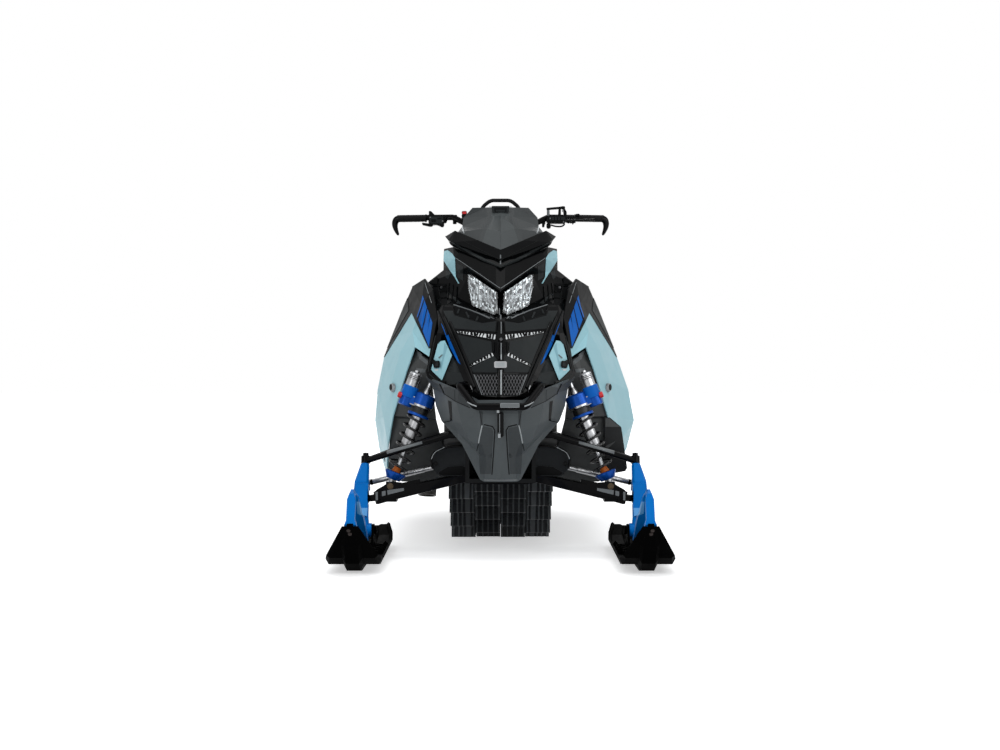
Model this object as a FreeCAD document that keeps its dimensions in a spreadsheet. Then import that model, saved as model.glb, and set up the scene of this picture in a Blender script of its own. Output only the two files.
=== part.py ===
"""A mountain snowmobile, front towards -Y, left side of the rider at +X, standing on Z = 0.

The origin lies on the ground, in the middle of the length and width. Lengths are in millimetres.
"""

import FreeCAD, Part
import math
import os
import Sketcher
from FreeCAD import Placement, Rotation, Vector

# Driving dimensions: name, value, what it is
SIZES = [
    ("ski_bolt_y", -975, "ski bolt along the vehicle"),
    ("ski_x", 472, "half the ski stance"),
    ("pivot_back", 600, "ski tip to ski bolt"),
    ("pivot_z", 100, "height of the ski bolt"),
    ("caster", 20, "rearward lean of the kingpin, degrees"),
    ("lower_ball", 112, "ski bolt to lower ball joint, along the kingpin"),
    ("upper_ball", 254, "ski bolt to upper ball joint, along the kingpin"),
    ("ball_housing_radius", 16, "outer radius of a ball joint housing"),
    ("ball_housing_height", 24, "height of a ball joint housing"),
    ("ball_stud_radius", 6, "radius of a ball joint stud"),
    ("pin_clearance", 0.06, "radial clearance of a pin in its bore"),
    ("running_gap", 6, "clearance of a turning piece beside its neighbour"),
    ("seat_gap", 0.3, "gap between pieces that are bolted together"),
    ("spindle_width", 52, "spindle across the vehicle at its widest"),
    ("spindle_depth", 64, "spindle along the vehicle at its widest"),
    ("boss_radius", 24, "spindle foot around the ski bolt"),
    ("boss_half_width", 27, "half width of the spindle foot"),
    ("ski_bolt_radius", 8, "radius of the ski bolt"),
    ("steer_arm_length", 82, "kingpin to tie rod stud"),
    ("steer_arm_height", 168, "steering arm above the ski bolt, along the kingpin"),
    ("steer_arm_thick", 12, "thickness of the steering arm"),
    ("tie_stud_radius", 5, "radius of the tie rod stud"),
    ("tie_eye_radius", 12, "outer radius of the tie rod eye"),
    ("tie_eye_height", 14, "height of the tie rod eye"),
    ("tie_rod_radius", 8, "radius of the tie rod"),
    ("tie_inner_x", 118, "tie rod inner end from the middle"),
    ("tie_slope", 0.24, "rise of the tie rod for each unit inwards"),
    ("tie_forward", 44, "inner end of the tie rod ahead of its outer end"),
    ("boot_radius", 42, "outer radius of a steering rack boot"),
    ("boot_wall", 4, "wall of a steering rack boot"),
    ("ski_length", 1080, "ski from tip to tail"),
    ("ski_half_width", 92, "half width of the ski"),
    ("ski_tip_half_width", 27, "half width of the ski at its tip"),
    ("ski_tail_half_width", 62, "half width of the ski at its tail"),
    ("ski_tip_z", 158, "height of the ski tip"),
    ("ski_tail_z", 74, "height of the ski tail"),
    ("keel_depth", 22, "depth of the keel below the ski floor"),
    ("keel_half_width", 32, "half width of the keel at its root"),
    ("keel_foot_half_width", 22, "half width of the keel at its foot"),
    ("ski_edge_height", 20, "upturned edge of the ski"),
    ("ski_thick", 8, "thickness of the ski moulding"),
    ("gusset_height", 30, "height of the ski's cross ribs at their crest"),
    ("gusset_thick", 6, "thickness of the ski's cross ribs"),
    ("gusset_pitch", 62, "spacing of the ski's cross ribs"),
    ("saddle_wall", 8, "thickness of a ski saddle ear"),
    ("saddle_length", 130, "length of the ski saddle"),
    ("saddle_side_gap", 1, "gap between the saddle ear and the spindle foot"),
    ("loop_width", 38, "width of the ski loop at its foot"),
    ("loop_blade_width", 27, "width of the ski loop above its foot"),
    ("loop_thick", 15, "thickness of the ski loop"),
    ("loop_rise", 274, "height of the top of the ski loop"),
    ("arm_inner_x", 105, "inner pivots of the lower arms from the middle"),
    ("arm_inner_z", 285, "height of the inner pivots of the lower arms"),
    ("arm_front_ahead", 60, "front inner pivot of the lower arms ahead of the ski bolt"),
    ("arm_rear_behind", 105, "rear inner pivot of the lower arms behind the ski bolt"),
    ("arm_bush_radius", 14, "radius of a lower arm pivot bush"),
    ("arm_bush_length", 44, "length of a lower arm pivot bush"),
    ("arm_neck", 52, "length of the lower arm's neck at the ball joint"),
    ("arm_leg_height", 24, "height of a lower arm leg at the pivot"),
    ("arm_root_height", 44, "height of the lower arm where its legs meet"),
    ("arm_leg_width", 26, "width of a lower arm leg"),
    ("upper_arm_inner_x", 170, "inner pivots of the upper arms from the middle"),
    ("upper_arm_inner_z", 432, "height of the inner pivots of the upper arms"),
    ("upper_front_ahead", 35, "front inner pivot of the upper arms ahead of the ski bolt"),
    ("upper_rear_behind", 129, "rear inner pivot of the upper arms behind the ski bolt"),
    ("upper_arm_radius", 11, "radius of an upper arm tube"),
    ("shock_low_x", 383, "lower shock eye from the middle"),
    ("shock_low_behind", 50, "lower shock eye behind the ski bolt"),
    ("shock_low_z", 250, "height of the lower shock eye"),
    ("shock_top_x", 226, "upper shock eye from the middle"),
    ("shock_top_behind", 70, "upper shock eye behind the ski bolt"),
    ("shock_top_z", 652, "height of the upper shock eye"),
    ("shock_eye_radius", 14, "radius of a shock eye"),
    ("shock_eye_half", 12, "half length of a shock eye"),
    ("shock_body_radius", 21, "radius of the shock body"),
    ("shock_rod_radius", 6.5, "radius of the shock rod"),
    ("spring_radius", 34, "radius of the spring to the middle of its wire"),
    ("spring_wire_radius", 4.5, "radius of the spring wire"),
    ("reservoir_radius", 23, "radius of the shock reservoir"),
    ("reservoir_length", 112, "length of the shock reservoir"),
    ("reservoir_offset", 58, "shock axis to reservoir axis"),
    ("bulkhead_half_width", 120, "half width of the bulkhead"),
    ("bulkhead_ahead", 95, "front of the bulkhead ahead of the ski bolt"),
    ("bulkhead_low_z", 268, "underside of the bulkhead"),
    ("bulkhead_top_z", 575, "deck of the bulkhead"),
    ("bulkhead_wall", 14, "wall of the bulkhead casting"),
    ("tower_half_width", 26, "half width of a shock tower along the vehicle"),
    ("tunnel_half_width", 200, "half width of the tunnel, outside"),
    ("tunnel_wall", 3, "tunnel sheet thickness"),
    ("tunnel_front_behind", 160, "front face of the tunnel behind the ski bolt"),
    ("tunnel_rear_y", 1255, "rear end of the tunnel"),
    ("tunnel_top_front", 562, "tunnel top at the front"),
    ("tunnel_top_rear", 478, "height of the cargo deck, the level rear part of the tunnel top"),
    ("deck_front_y", 560, "front of the cargo deck, behind the seat"),
    ("tunnel_low_z", 272, "lower edge of the tunnel sides"),
    ("tunnel_rear_low", 360, "lower edge of the tunnel sides at the rear"),
    ("port_radius", 6.5, "cargo port hole radius"),
    ("port_pitch_x", 220, "cargo port spacing across"),
    ("port_pitch_y", 300, "cargo port spacing along"),
    ("port_y", 860, "middle of the cargo ports"),
    ("board_width", 225, "running board width beyond the tunnel"),
    ("board_front_y", -420, "front of the running boards"),
    ("board_rear_y", 1060, "rear of the running boards"),
    ("board_thick", 4, "running board sheet thickness"),
    ("board_lip", 34, "height of the running board's rolled edge"),
    ("board_lip_width", 16, "width of the running board's rolled edge"),
    ("board_hole", 34, "side of a running board opening"),
    ("board_pitch", 92, "spacing of the running board openings"),
    ("drive_y", -635, "drive axle along the vehicle"),
    ("drive_z", 370, "height of the drive axle"),
    ("drive_radius", 92, "radius of the drive sprockets"),
    ("idler_y", 1025, "rear idler axle along the vehicle"),
    ("idler_radius", 89, "radius of the rear idlers"),
    ("bow_y", -130, "where the front curve of the rails meets the flat"),
    ("bow_radius", 330, "radius of the front curve of the rails"),
    ("track_width", 381, "width of the track"),
    ("belt_thick", 6, "thickness of the track belt"),
    ("lug_height", 66, "height of the track lugs"),
    ("lug_thick", 13, "thickness of a lug at its root"),
    ("lug_count", 54, "number of lug rows"),
    ("rail_x", 98, "middle of a skid rail from the middle"),
    ("rail_thick", 12, "thickness of a skid rail"),
    ("rail_height", 86, "height of a skid rail"),
    ("slide_height", 12, "height of the wear slide under a rail"),
    ("slide_thick", 34, "width of the wear slide"),
    ("idler_width", 22, "width of a wheel of the skid"),
    ("idler_x", 142, "outer rear wheels from the middle"),
    ("axle_radius", 12, "radius of the axles of the skid"),
    ("small_wheel_radius", 56, "radius of the carrier wheels"),
    ("front_arm_y", -330, "upper pivot of the front skid arm"),
    ("front_arm_z", 352, "height of the front skid arm's upper pivot"),
    ("rear_arm_y", 330, "upper pivot of the rear skid arm"),
    ("rear_arm_z", 296, "height of the rear skid arm's upper pivot"),
    ("engine_half_width", 150, "half width of the engine block"),
    ("engine_behind", 107, "front of the engine block behind the ski bolt"),
    ("engine_length", 270, "length of the engine block"),
    ("engine_height", 170, "height of the engine block"),
    ("post_foot_y", -600, "lower end of the steering post along the vehicle"),
    ("bar_y", -425, "handlebar clamp along the vehicle"),
    ("bar_z", 1168, "height of the handlebar clamp"),
    ("post_foot_z", 865, "height of the lower end of the steering post"),
    ("post_radius", 15, "radius of the steering post"),
    ("bar_radius", 11, "radius of the handlebar tube"),
    ("bar_bend_x", 178, "bend of the handlebar from the middle"),
    ("grip_radius", 13.5, "radius of a grip"),
    ("grip_inner_x", 275, "inner end of a grip"),
    ("grip_outer_x", 388, "outer end of the straight of a grip"),
    ("control_length", 58, "length of a control block along the handlebar"),
    ("grip_z", 1226, "height of the grips"),
    ("hook_drop", 62, "drop of the hooked end of a grip"),
    ("panel_thick", 4, "thickness of the body panels"),
    ("tube_gap", 5, "clearance of a tube in the opening of a panel"),
    ("bumper_radius", 12, "radius of the bumper tubes"),
    ("bumper_ahead", 221, "front bumper ahead of the ski bolt"),
    ("bumper_z", 530, "height of the front bumper"),
    ("console_front_y", -510, "front of the console"),
    ("seat_front_y", -215, "front of the seat"),
    ("seat_length", 740, "length of the seat"),
    ("seat_half_width", 125, "half width of the seat base"),
    ("seat_height", 300, "height of the seat above the tunnel at the front"),
    ("flap_end_y", 1575, "lower edge of the snow flap along the vehicle"),
    ("flap_end_z", 205, "height of the lower edge of the snow flap"),
    ("flap_half_width", 176, "half width of the snow flap"),
    ("flap_thick", 5, "thickness of the snow flap"),
]

doc = FreeCAD.newDocument("snowmobile")
sheet = doc.addObject("Spreadsheet::Sheet", "Sizes")


class Size:
    """A number together with the spreadsheet expression that gives it."""

    def __init__(self, value, text):
        self.value = float(value)
        self.text = text

    def __float__(self):
        return self.value

    def __add__(self, other):
        return Size(self.value + float(other), f"({self.text} + {text_of(other)})")

    def __radd__(self, other):
        return Size(float(other) + self.value, f"({text_of(other)} + {self.text})")

    def __sub__(self, other):
        return Size(self.value - float(other), f"({self.text} - {text_of(other)})")

    def __rsub__(self, other):
        return Size(float(other) - self.value, f"({text_of(other)} - {self.text})")

    def __mul__(self, other):
        return Size(self.value * float(other), f"({self.text} * {text_of(other)})")

    def __rmul__(self, other):
        return Size(float(other) * self.value, f"({text_of(other)} * {self.text})")

    def __truediv__(self, other):
        return Size(self.value / float(other), f"({self.text} / {text_of(other)})")

    def __neg__(self):
        return Size(-self.value, f"(0 - {self.text})")


def text_of(number):
    """The expression of a Size, or the digits of a plain number."""
    return number.text if isinstance(number, Size) else repr(float(number))


class Namespace:
    """Holds each driving dimension as an attribute."""


D = Namespace()
for line_number, (alias, value, note) in enumerate(SIZES, start=1):
    sheet.set(f"A{line_number}", alias)
    sheet.set(f"B{line_number}", str(value))
    sheet.setAlias(f"B{line_number}", alias)
    sheet.set(f"C{line_number}", note)
    setattr(D, alias, Size(value, f"Sizes.{alias}"))
doc.recompute()

NODES = []


def node(obj, label):
    """Names a document object as a sub-part."""
    obj.Label = label
    NODES.append(obj)
    return obj


def vec(x, y, z):
    return Vector(float(x), float(y), float(z))


def feature(label, shape, placement=None):
    """A sub-part whose shape is made with Part's own functions."""
    obj = doc.addObject("Part::Feature", label)
    obj.Shape = shape
    if placement is not None:
        obj.Placement = placement
    return node(obj, label)


# Shapes made with Part's functions

def rod(start, end, radius):
    """A round bar from one point to another."""
    along = end - start
    return Part.makeCylinder(float(radius), along.Length, start, along)


def block(x0, x1, y0, y1, z0, z1):
    low = vec(x0, y0, z0)
    size = vec(x1, y1, z1) - low
    return Part.makeBox(size.x, size.y, size.z, low)


def fused(shapes):
    whole = shapes[0].multiFuse(shapes[1:]) if len(shapes) > 1 else shapes[0]
    return whole.removeSplitter()


def polygon_wire(points):
    return Part.makePolygon(list(points) + [points[0]])


def prism(points, along):
    """A solid from a closed flat outline pushed along a vector."""
    return Part.Face(polygon_wire(points)).extrude(along)


def loft(outlines, ruled=False):
    return Part.makeLoft([polygon_wire(points) for points in outlines], True, ruled)


def mirrored(shape):
    """The same shape on the other side of the vehicle."""
    return shape.mirror(Vector(0, 0, 0), Vector(1, 0, 0))


def bar(start, end, size_start, size_end):
    """A tapering bar of rectangular section; each size is (across, high)."""
    along = (end - start).normalize()
    across = along.cross(Vector(0, 0, 1)).normalize()
    high = across.cross(along)

    def outline(middle, size):
        a = across * (float(size[0]) / 2)
        h = high * (float(size[1]) / 2)
        return [middle + a + h, middle - a + h, middle - a - h, middle + a - h]

    return loft([outline(start, size_start), outline(end, size_end)], ruled=True)


def bent_tube(points, radius, bend):
    """A tube through points, with each corner rounded to the bend radius."""
    edges = []
    at = points[0]
    for before, corner, after in zip(points, points[1:], points[2:]):
        into = (before - corner).normalize()
        out = (after - corner).normalize()
        half = into.getAngle(out) / 2
        cut = float(bend) / math.tan(half)
        start = corner + into * cut
        end = corner + out * cut
        bisector = (into + out).normalize()
        middle = corner + bisector * (float(bend) / math.sin(half) - float(bend))
        if (start - at).Length > 1e-3:
            edges.append(Part.makeLine(at, start))
        edges.append(Part.Arc(start, middle, end).toShape())
        at = end
    edges.append(Part.makeLine(at, points[-1]))
    path = Part.Wire(edges)
    circle = Part.makeCircle(float(radius), points[0], points[1] - points[0])
    return path.makePipeShell([Part.Wire([circle])], True, False)


def thick_grid(rows, thickness, outward):
    """A faceted panel: rows of points on its outer face, which looks outward, with the wall behind it."""
    count_r, count_c = len(rows), len(rows[0])

    def across_cell(r, c):
        a, b = rows[r][c], rows[r][c + 1]
        d, e = rows[r + 1][c], rows[r + 1][c + 1]
        return (e - a).cross(d - b)

    cells = [across_cell(r, c) for r in range(count_r - 1) for c in range(count_c - 1)]
    facing = math.copysign(1, sum(cells, Vector(0, 0, 0)).dot(Vector(*outward)))

    def cell_normal(r, c):
        return (across_cell(r, c) * facing).normalize()

    def inner(r, c):
        near = [
            cell_normal(i, j)
            for i in (r - 1, r)
            for j in (c - 1, c)
            if 0 <= i < count_r - 1 and 0 <= j < count_c - 1
        ]
        mean = sum(near, Vector(0, 0, 0)).normalize()
        spread = max(min(mean.dot(n) for n in near), 0.5)
        return rows[r][c] - mean * (float(thickness) / spread)

    low = [[inner(r, c) for c in range(count_c)] for r in range(count_r)]
    faces = []

    def triangle(a, b, c):
        if min((a - b).Length, (b - c).Length, (c - a).Length) > 1e-6:
            faces.append(Part.Face(polygon_wire([a, b, c])))

    def quad(a, b, c, d, other_way=False):
        if other_way:
            a, b, c, d = b, c, d, a
        triangle(a, b, c)
        triangle(a, c, d)

    for r in range(count_r - 1):
        for c in range(count_c - 1):
            falling = (rows[r][c] - rows[r + 1][c + 1]).Length
            rising = (rows[r][c + 1] - rows[r + 1][c]).Length
            fold = falling > rising
            quad(rows[r][c], rows[r][c + 1], rows[r + 1][c + 1], rows[r + 1][c], fold)
            quad(low[r][c], low[r][c + 1], low[r + 1][c + 1], low[r + 1][c], fold)
    for r in range(count_r - 1):
        for c in (0, count_c - 1):
            quad(rows[r][c], rows[r + 1][c], low[r + 1][c], low[r][c])
    for c in range(count_c - 1):
        for r in (0, count_r - 1):
            quad(rows[r][c], rows[r][c + 1], low[r][c + 1], low[r][c])
    solid = Part.Solid(Part.Shell(faces))
    if solid.Volume < 0:
        solid.reverse()
    return solid.removeSplitter()


def tangent_loop(circles, grow):
    """The closed line of a belt round circles, given in order as (y, z, radius), on the plane X = 0."""
    parts = []
    count = len(circles)
    ends = []
    for i in range(count):
        y0, z0, r0 = (float(v) for v in circles[i])
        y1, z1, r1 = (float(v) for v in circles[(i + 1) % count])
        r0, r1 = r0 + float(grow), r1 + float(grow)
        along = Vector(0, y1 - y0, z1 - z0)
        turn = math.acos((r0 - r1) / along.Length)
        normal = Rotation(Vector(1, 0, 0), -math.degrees(turn)).multVec(along.normalize())
        ends.append((Vector(0, y0, z0) + normal * r0, Vector(0, y1, z1) + normal * r1, normal))
    for i in range(count):
        y, z, r = (float(v) for v in circles[i])
        arrive = ends[i - 1][1]
        leave = ends[i][0]
        middle = (ends[i - 1][2] + ends[i][2]).normalize()
        top = Vector(0, y, z) + middle * (r + float(grow))
        parts.append(Part.Arc(arrive, top, leave).toShape())
        parts.append(Part.makeLine(leave, ends[i][1]))
    return Part.Wire(parts)


# Document objects bound to the sheet

def bind_point(obj, prefix, values):
    for letter, value in zip("xyz", values):
        obj.setExpression(f"{prefix}.{letter}", text_of(value))


def cylinder(name, radius, length, base, axis):
    """A Part cylinder along a row axis, its sizes and place bound to the sheet."""
    obj = doc.addObject("Part::Cylinder", name)
    obj.setExpression("Radius", text_of(radius))
    obj.setExpression("Height", text_of(length))
    turns = {
        "X": Rotation(Vector(0, 1, 0), 90),
        "Y": Rotation(Vector(1, 0, 0), -90),
        "Z": Rotation(),
    }
    obj.Placement = Placement(Vector(0, 0, 0), turns[axis])
    bind_point(obj, ".Placement.Base", base)
    return obj


def box(name, x0, x1, y0, y1, z0, z1):
    """A Part box between two corners, bound to the sheet."""
    obj = doc.addObject("Part::Box", name)
    obj.setExpression("Length", text_of(x1 - x0))
    obj.setExpression("Width", text_of(y1 - y0))
    obj.setExpression("Height", text_of(z1 - z0))
    bind_point(obj, ".Placement.Base", (x0, y0, z0))
    return obj


def gathered(label, objects, joined=False):
    """A node of several objects: separate solids, or fused into one."""
    if joined:
        obj = doc.addObject("Part::MultiFuse", label)
        obj.Shapes = objects
        obj.Refine = True
    else:
        obj = doc.addObject("Part::Compound", label)
        obj.Links = objects
    return node(obj, label)


def sketch_on(body, role, name, points):
    """A closed sketch outline on an origin plane of the body; each coordinate is bound to the sheet."""
    sketch = body.newObject("Sketcher::SketchObject", name)
    plane = [f for f in body.Origin.OriginFeatures if f.Role == role][0]
    sketch.AttachmentSupport = [(plane, "")]
    sketch.MapMode = "FlatFace"
    count = len(points)
    for i in range(count):
        a, b = points[i], points[(i + 1) % count]
        sketch.addGeometry(Part.LineSegment(vec(a[0], a[1], 0), vec(b[0], b[1], 0)))
    for i in range(count):
        sketch.addConstraint(Sketcher.Constraint("Coincident", i, 2, (i + 1) % count, 1))
    for i, point in enumerate(points):
        for kind, value in zip(("DistanceX", "DistanceY"), point):
            name_c = f"{kind[-1].lower()}{i}"
            index = sketch.addConstraint(Sketcher.Constraint(kind, -1, 1, i, 1, float(value)))
            sketch.renameConstraint(index, name_c)
            sketch.setExpression(f"Constraints.{name_c}", text_of(value))
    return sketch


def pad(body, sketch, length, symmetric=True):
    obj = body.newObject("PartDesign::Pad", sketch.Name + "_pad")
    obj.Profile = sketch
    obj.SideType = "Symmetric" if symmetric else "One side"
    obj.setExpression("Length", text_of(length))
    sketch.Visibility = False
    return obj


def pocket(body, sketch, length):
    """A symmetric cut, so it reaches the same way on both sides of its plane."""
    obj = body.newObject("PartDesign::Pocket", sketch.Name + "_cut")
    obj.Profile = sketch
    obj.SideType = "Symmetric"
    obj.setExpression("Length", text_of(length))
    return obj


# Places that several pieces share

LEFT, RIGHT = 1, -1
SIDES = ((LEFT, "left"), (RIGHT, "right"))
pivot_y = D.ski_bolt_y
tip_y = D.ski_bolt_y - D.pivot_back
bulkhead_front_y = pivot_y - D.bulkhead_ahead
tunnel_front_y = pivot_y + D.tunnel_front_behind
engine_front_y = pivot_y + D.engine_behind
lean = math.radians(float(D.caster))
post_lean = math.atan(float(D.bar_y - D.post_foot_y) / float(D.bar_z - D.post_foot_z))
post_length = (D.bar_z - D.post_foot_z) / math.cos(post_lean)


def kingpin_frame(side):
    """Placement of the spindle: origin at the ski bolt, Z up the kingpin."""
    base = vec(side * D.ski_x, pivot_y, D.pivot_z)
    return Placement(base, Rotation(Vector(1, 0, 0), -float(D.caster)))


def on_kingpin(height, x=0.0, back=0.0):
    """A point of the left spindle's frame, in the vehicle's frame."""
    return kingpin_frame(LEFT).multVec(vec(x, back, height))


def both_sides(shape):
    return Part.makeCompound([shape, mirrored(shape)])


# Tunnel and running boards

def make_tunnel():
    body = doc.addObject("PartDesign::Body", "TunnelBody")
    slope_y = D.board_front_y
    outer = [
        (tunnel_front_y, D.tunnel_low_z),
        (tunnel_front_y, D.tunnel_top_front),
        (slope_y, D.tunnel_top_front),
        (D.deck_front_y, D.tunnel_top_rear),
        (D.tunnel_rear_y, D.tunnel_top_rear),
        (D.tunnel_rear_y, D.tunnel_rear_low),
        (D.board_rear_y, D.tunnel_low_z),
    ]
    wall = D.tunnel_wall
    inner = [
        (tunnel_front_y + wall, D.tunnel_low_z - 50),
        (tunnel_front_y + wall, D.tunnel_top_front - wall),
        (slope_y, D.tunnel_top_front - wall),
        (D.deck_front_y, D.tunnel_top_rear - wall),
        (D.tunnel_rear_y + 10, D.tunnel_top_rear - wall),
        (D.tunnel_rear_y + 10, D.tunnel_low_z - 50),
    ]
    pad(body, sketch_on(body, "YZ_Plane", "TunnelSide", outer), D.tunnel_half_width * 2)
    pocket(
        body,
        sketch_on(body, "YZ_Plane", "TunnelInside", inner),
        (D.tunnel_half_width - wall) * 2,
    )
    half_x, half_y = D.port_pitch_x / 2, D.port_pitch_y / 2
    sketch = body.newObject("Sketcher::SketchObject", "Ports")
    plane = [f for f in body.Origin.OriginFeatures if f.Role == "XY_Plane"][0]
    sketch.AttachmentSupport = [(plane, "")]
    sketch.MapMode = "FlatFace"
    sketch.setExpression(".AttachmentOffset.Base.y", D.port_y.text)
    sketch.setExpression(".AttachmentOffset.Base.z", D.tunnel_top_rear.text)
    for i, (sx, sy) in enumerate(((1, 1), (-1, 1), (-1, -1), (1, -1))):
        x, y = sx * half_x, sy * half_y
        sketch.addGeometry(Part.Circle(vec(x, y, 0), Vector(0, 0, 1), float(D.port_radius)))
        for kind, value in (("DistanceX", x), ("DistanceY", y)):
            name_c = f"{kind[-1].lower()}{i}"
            index = sketch.addConstraint(Sketcher.Constraint(kind, -1, 1, i, 3, float(value)))
            sketch.renameConstraint(index, name_c)
            sketch.setExpression(f"Constraints.{name_c}", text_of(value))
        index = sketch.addConstraint(Sketcher.Constraint("Radius", i, float(D.port_radius)))
        sketch.renameConstraint(index, f"r{i}")
        sketch.setExpression(f"Constraints.r{i}", D.port_radius.text)
    body.Tip = pocket(body, sketch, D.tunnel_wall * 20)
    return node(body, "tunnel")


def make_running_board(side, name):
    """A perforated sheet with a rolled outer edge, hung on the tunnel's lower edge."""
    body = doc.addObject("PartDesign::Body", f"Board_{name}")
    x0 = side * (D.tunnel_half_width + D.seat_gap)
    x1 = side * (D.tunnel_half_width + D.board_width)
    x2 = side * (D.tunnel_half_width + D.board_width - D.board_lip_width)
    low, top = D.tunnel_low_z, D.tunnel_low_z + D.board_thick
    section = [
        (x0, low),
        (x1, low),
        (x1, low + D.board_lip),
        (x2, low + D.board_lip),
        (x2, top),
        (x0, top),
    ]
    sketch = sketch_on(body, "XZ_Plane", f"Section_{name}", section)
    pad(body, sketch, D.board_rear_y - D.board_front_y, symmetric=True)
    body.setExpression(".Placement.Base.y", ((D.board_rear_y + D.board_front_y) / 2).text)
    doc.recompute()
    hole_x = side * (D.tunnel_half_width + D.board_width * 0.3)
    start = -(D.board_rear_y - D.board_front_y) / 2 + D.board_pitch
    half = D.board_hole / 2
    square = [
        (hole_x - half, start - half),
        (hole_x + half, start - half),
        (hole_x + half, start + half),
        (hole_x - half, start + half),
    ]
    cut = pocket(body, sketch_on(body, "XY_Plane", f"Opening_{name}", square), D.tunnel_low_z * 3)
    doc.recompute()
    first = body.newObject("PartDesign::LinearPattern", f"Along_{name}")
    first.Originals = [cut]
    first.Direction = ([f for f in body.Origin.OriginFeatures if f.Role == "Y_Axis"][0], [""])
    first.Mode = "Spacing"
    first.setExpression("Offset", D.board_pitch.text)
    first.Occurrences = 15
    body.Tip = first
    return node(body, f"running_board_{name}")


# Track and skid

def track_circles():
    """Drive, rail bow and idlers, in the order that the belt passes them."""
    flat_z = D.lug_height + D.belt_thick
    return [
        (D.drive_y, D.drive_z, D.drive_radius),
        (D.bow_y, flat_z + D.bow_radius, D.bow_radius),
        (D.idler_y, flat_z + D.idler_radius, D.idler_radius),
    ]


def make_track():
    circles = track_circles()
    width = float(D.track_width)
    outer = tangent_loop(circles, D.belt_thick)
    inner = tangent_loop(circles, 0)
    across = Vector(width, 0, 0)
    belt = Part.Face(outer).extrude(across).cut(Part.Face(inner).extrude(across))
    belt.translate(Vector(-width / 2, 0, 0))
    count = int(float(D.lug_count))
    points = outer.discretize(Number=count * 4 + 1)
    centre = Vector(0, (float(D.drive_y) + float(D.idler_y)) / 2, float(D.drive_radius) * 2)
    quarter = width / 4
    gap = quarter * 0.06
    lugs = []
    for i in range(count):
        at = points[i * 4]
        ahead = (points[(i * 4 + 1) % (count * 4)] - points[i * 4 - 1]).normalize()
        out = Vector(1, 0, 0).cross(ahead)
        if out.dot(at - centre) < 0:
            out = out * -1
        spans = ((-2, -1), (1, 2)) if i % 2 else ((-1, 0), (0, 1))
        for a, b in spans:
            x0, x1 = a * quarter + gap, b * quarter - gap
            lugs.append(paddle(at, ahead, out, x0, x1))
    return feature("track", fused([belt] + lugs))


def paddle(at, ahead, out, x0, x1):
    """One track lug: a tapering blade stiffened by three upright ribs, which stands out from the belt."""
    rib_root, rib_tip = float(D.lug_thick) / 2, float(D.lug_thick) / 4
    web_share = 0.35
    ribs = 3
    stops = [x0 + (x1 - x0) * i / (2 * ribs - 2) for i in range(2 * ribs - 1)]

    def outline(level, thick):
        """Ribs and webs by turns, along one side of the blade and back along the other."""
        depth = [thick if i % 2 == 0 else thick * web_share for i in range(len(stops))]
        near = [level + Vector(x, 0, 0) + ahead * t for x, t in zip(stops, depth)]
        far = [level + Vector(x, 0, 0) - ahead * t for x, t in zip(stops, depth)]
        return near + far[::-1]

    low = outline(at - out * (float(D.belt_thick) / 3), rib_root)
    high = outline(at + out * float(D.lug_height), rib_tip)
    return loft([low, high], ruled=True)


def make_skid():
    flat_z = D.lug_height + D.belt_thick
    slide_top = flat_z + D.slide_height
    rail_top = slide_top + D.rail_height
    bow = Part.Face(tangent_loop(track_circles(), -D.seat_gap))
    rail_end = D.idler_y - D.idler_radius * 0.2
    nose_y = D.bow_y - D.bow_radius * 0.62
    outline = [
        vec(0, nose_y, flat_z),
        vec(0, rail_end, flat_z),
        vec(0, rail_end, rail_top - 8),
        vec(0, D.bow_y + 60, rail_top),
        vec(0, nose_y, rail_top + 62),
    ]
    blank = Part.Face(polygon_wire(outline)).common(bow)
    slide_line = Part.Face(tangent_loop(track_circles(), -D.seat_gap - D.slide_height))
    pieces = []
    for side in (LEFT, RIGHT):
        x = float(side * D.rail_x)
        plate = blank.common(slide_line)
        web = plate.extrude(Vector(float(D.rail_thick), 0, 0))
        web.translate(Vector(x - float(D.rail_thick) / 2, 0, 0))
        low = blank.cut(slide_line)
        slide = low.extrude(Vector(float(D.slide_thick), 0, 0))
        slide.translate(Vector(x - float(D.slide_thick) / 2, 0, 0))
        slide = slide.common(block(x - 60, x + 60, nose_y, rail_end, 0, slide_top + 160))
        pieces.append(fused([web, slide]))
    for y in (D.bow_y + 40, D.bow_y + 620):
        pieces.append(rod(vec(-D.rail_x, y, rail_top - 40), vec(D.rail_x, y, rail_top - 40), 11))
    feature("skid_rails", fused(pieces))
    make_wheels(flat_z, rail_top)
    make_skid_arms(flat_z, rail_top)


def wheel(name, x, y, z, radius):
    """A ribbed wheel about X, its tread seat_gap short of the belt."""
    half = D.idler_width / 2
    return cylinder(name, radius - D.seat_gap, D.idler_width, (x - half, y, z), "X")


def make_wheels(flat_z, rail_top):
    idler_z = flat_z + D.idler_radius
    parts = [
        cylinder("RearAxle", D.axle_radius, D.idler_x * 2, (-D.idler_x, D.idler_y, idler_z), "X")
    ]
    for side, name in SIDES:
        parts.append(wheel(f"Rear_{name}", side * D.idler_x, D.idler_y, idler_z, D.idler_radius))
    parts.append(wheel("Rear_middle", D.idler_x * 0, D.idler_y, idler_z, D.idler_radius))
    gathered("rear_idlers", parts, joined=True)
    drive = [
        cylinder(
            "DriveShaft",
            D.axle_radius * 1.4,
            (D.tunnel_half_width - D.tunnel_wall - D.seat_gap) * 2,
            (D.tunnel_wall + D.seat_gap - D.tunnel_half_width, D.drive_y, D.drive_z),
            "X",
        )
    ]
    for side, name in SIDES:
        drive.append(wheel(f"Sprocket_{name}", side * D.rail_x, D.drive_y, D.drive_z, D.drive_radius))
    gathered("drive_axle", drive, joined=True)


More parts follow.
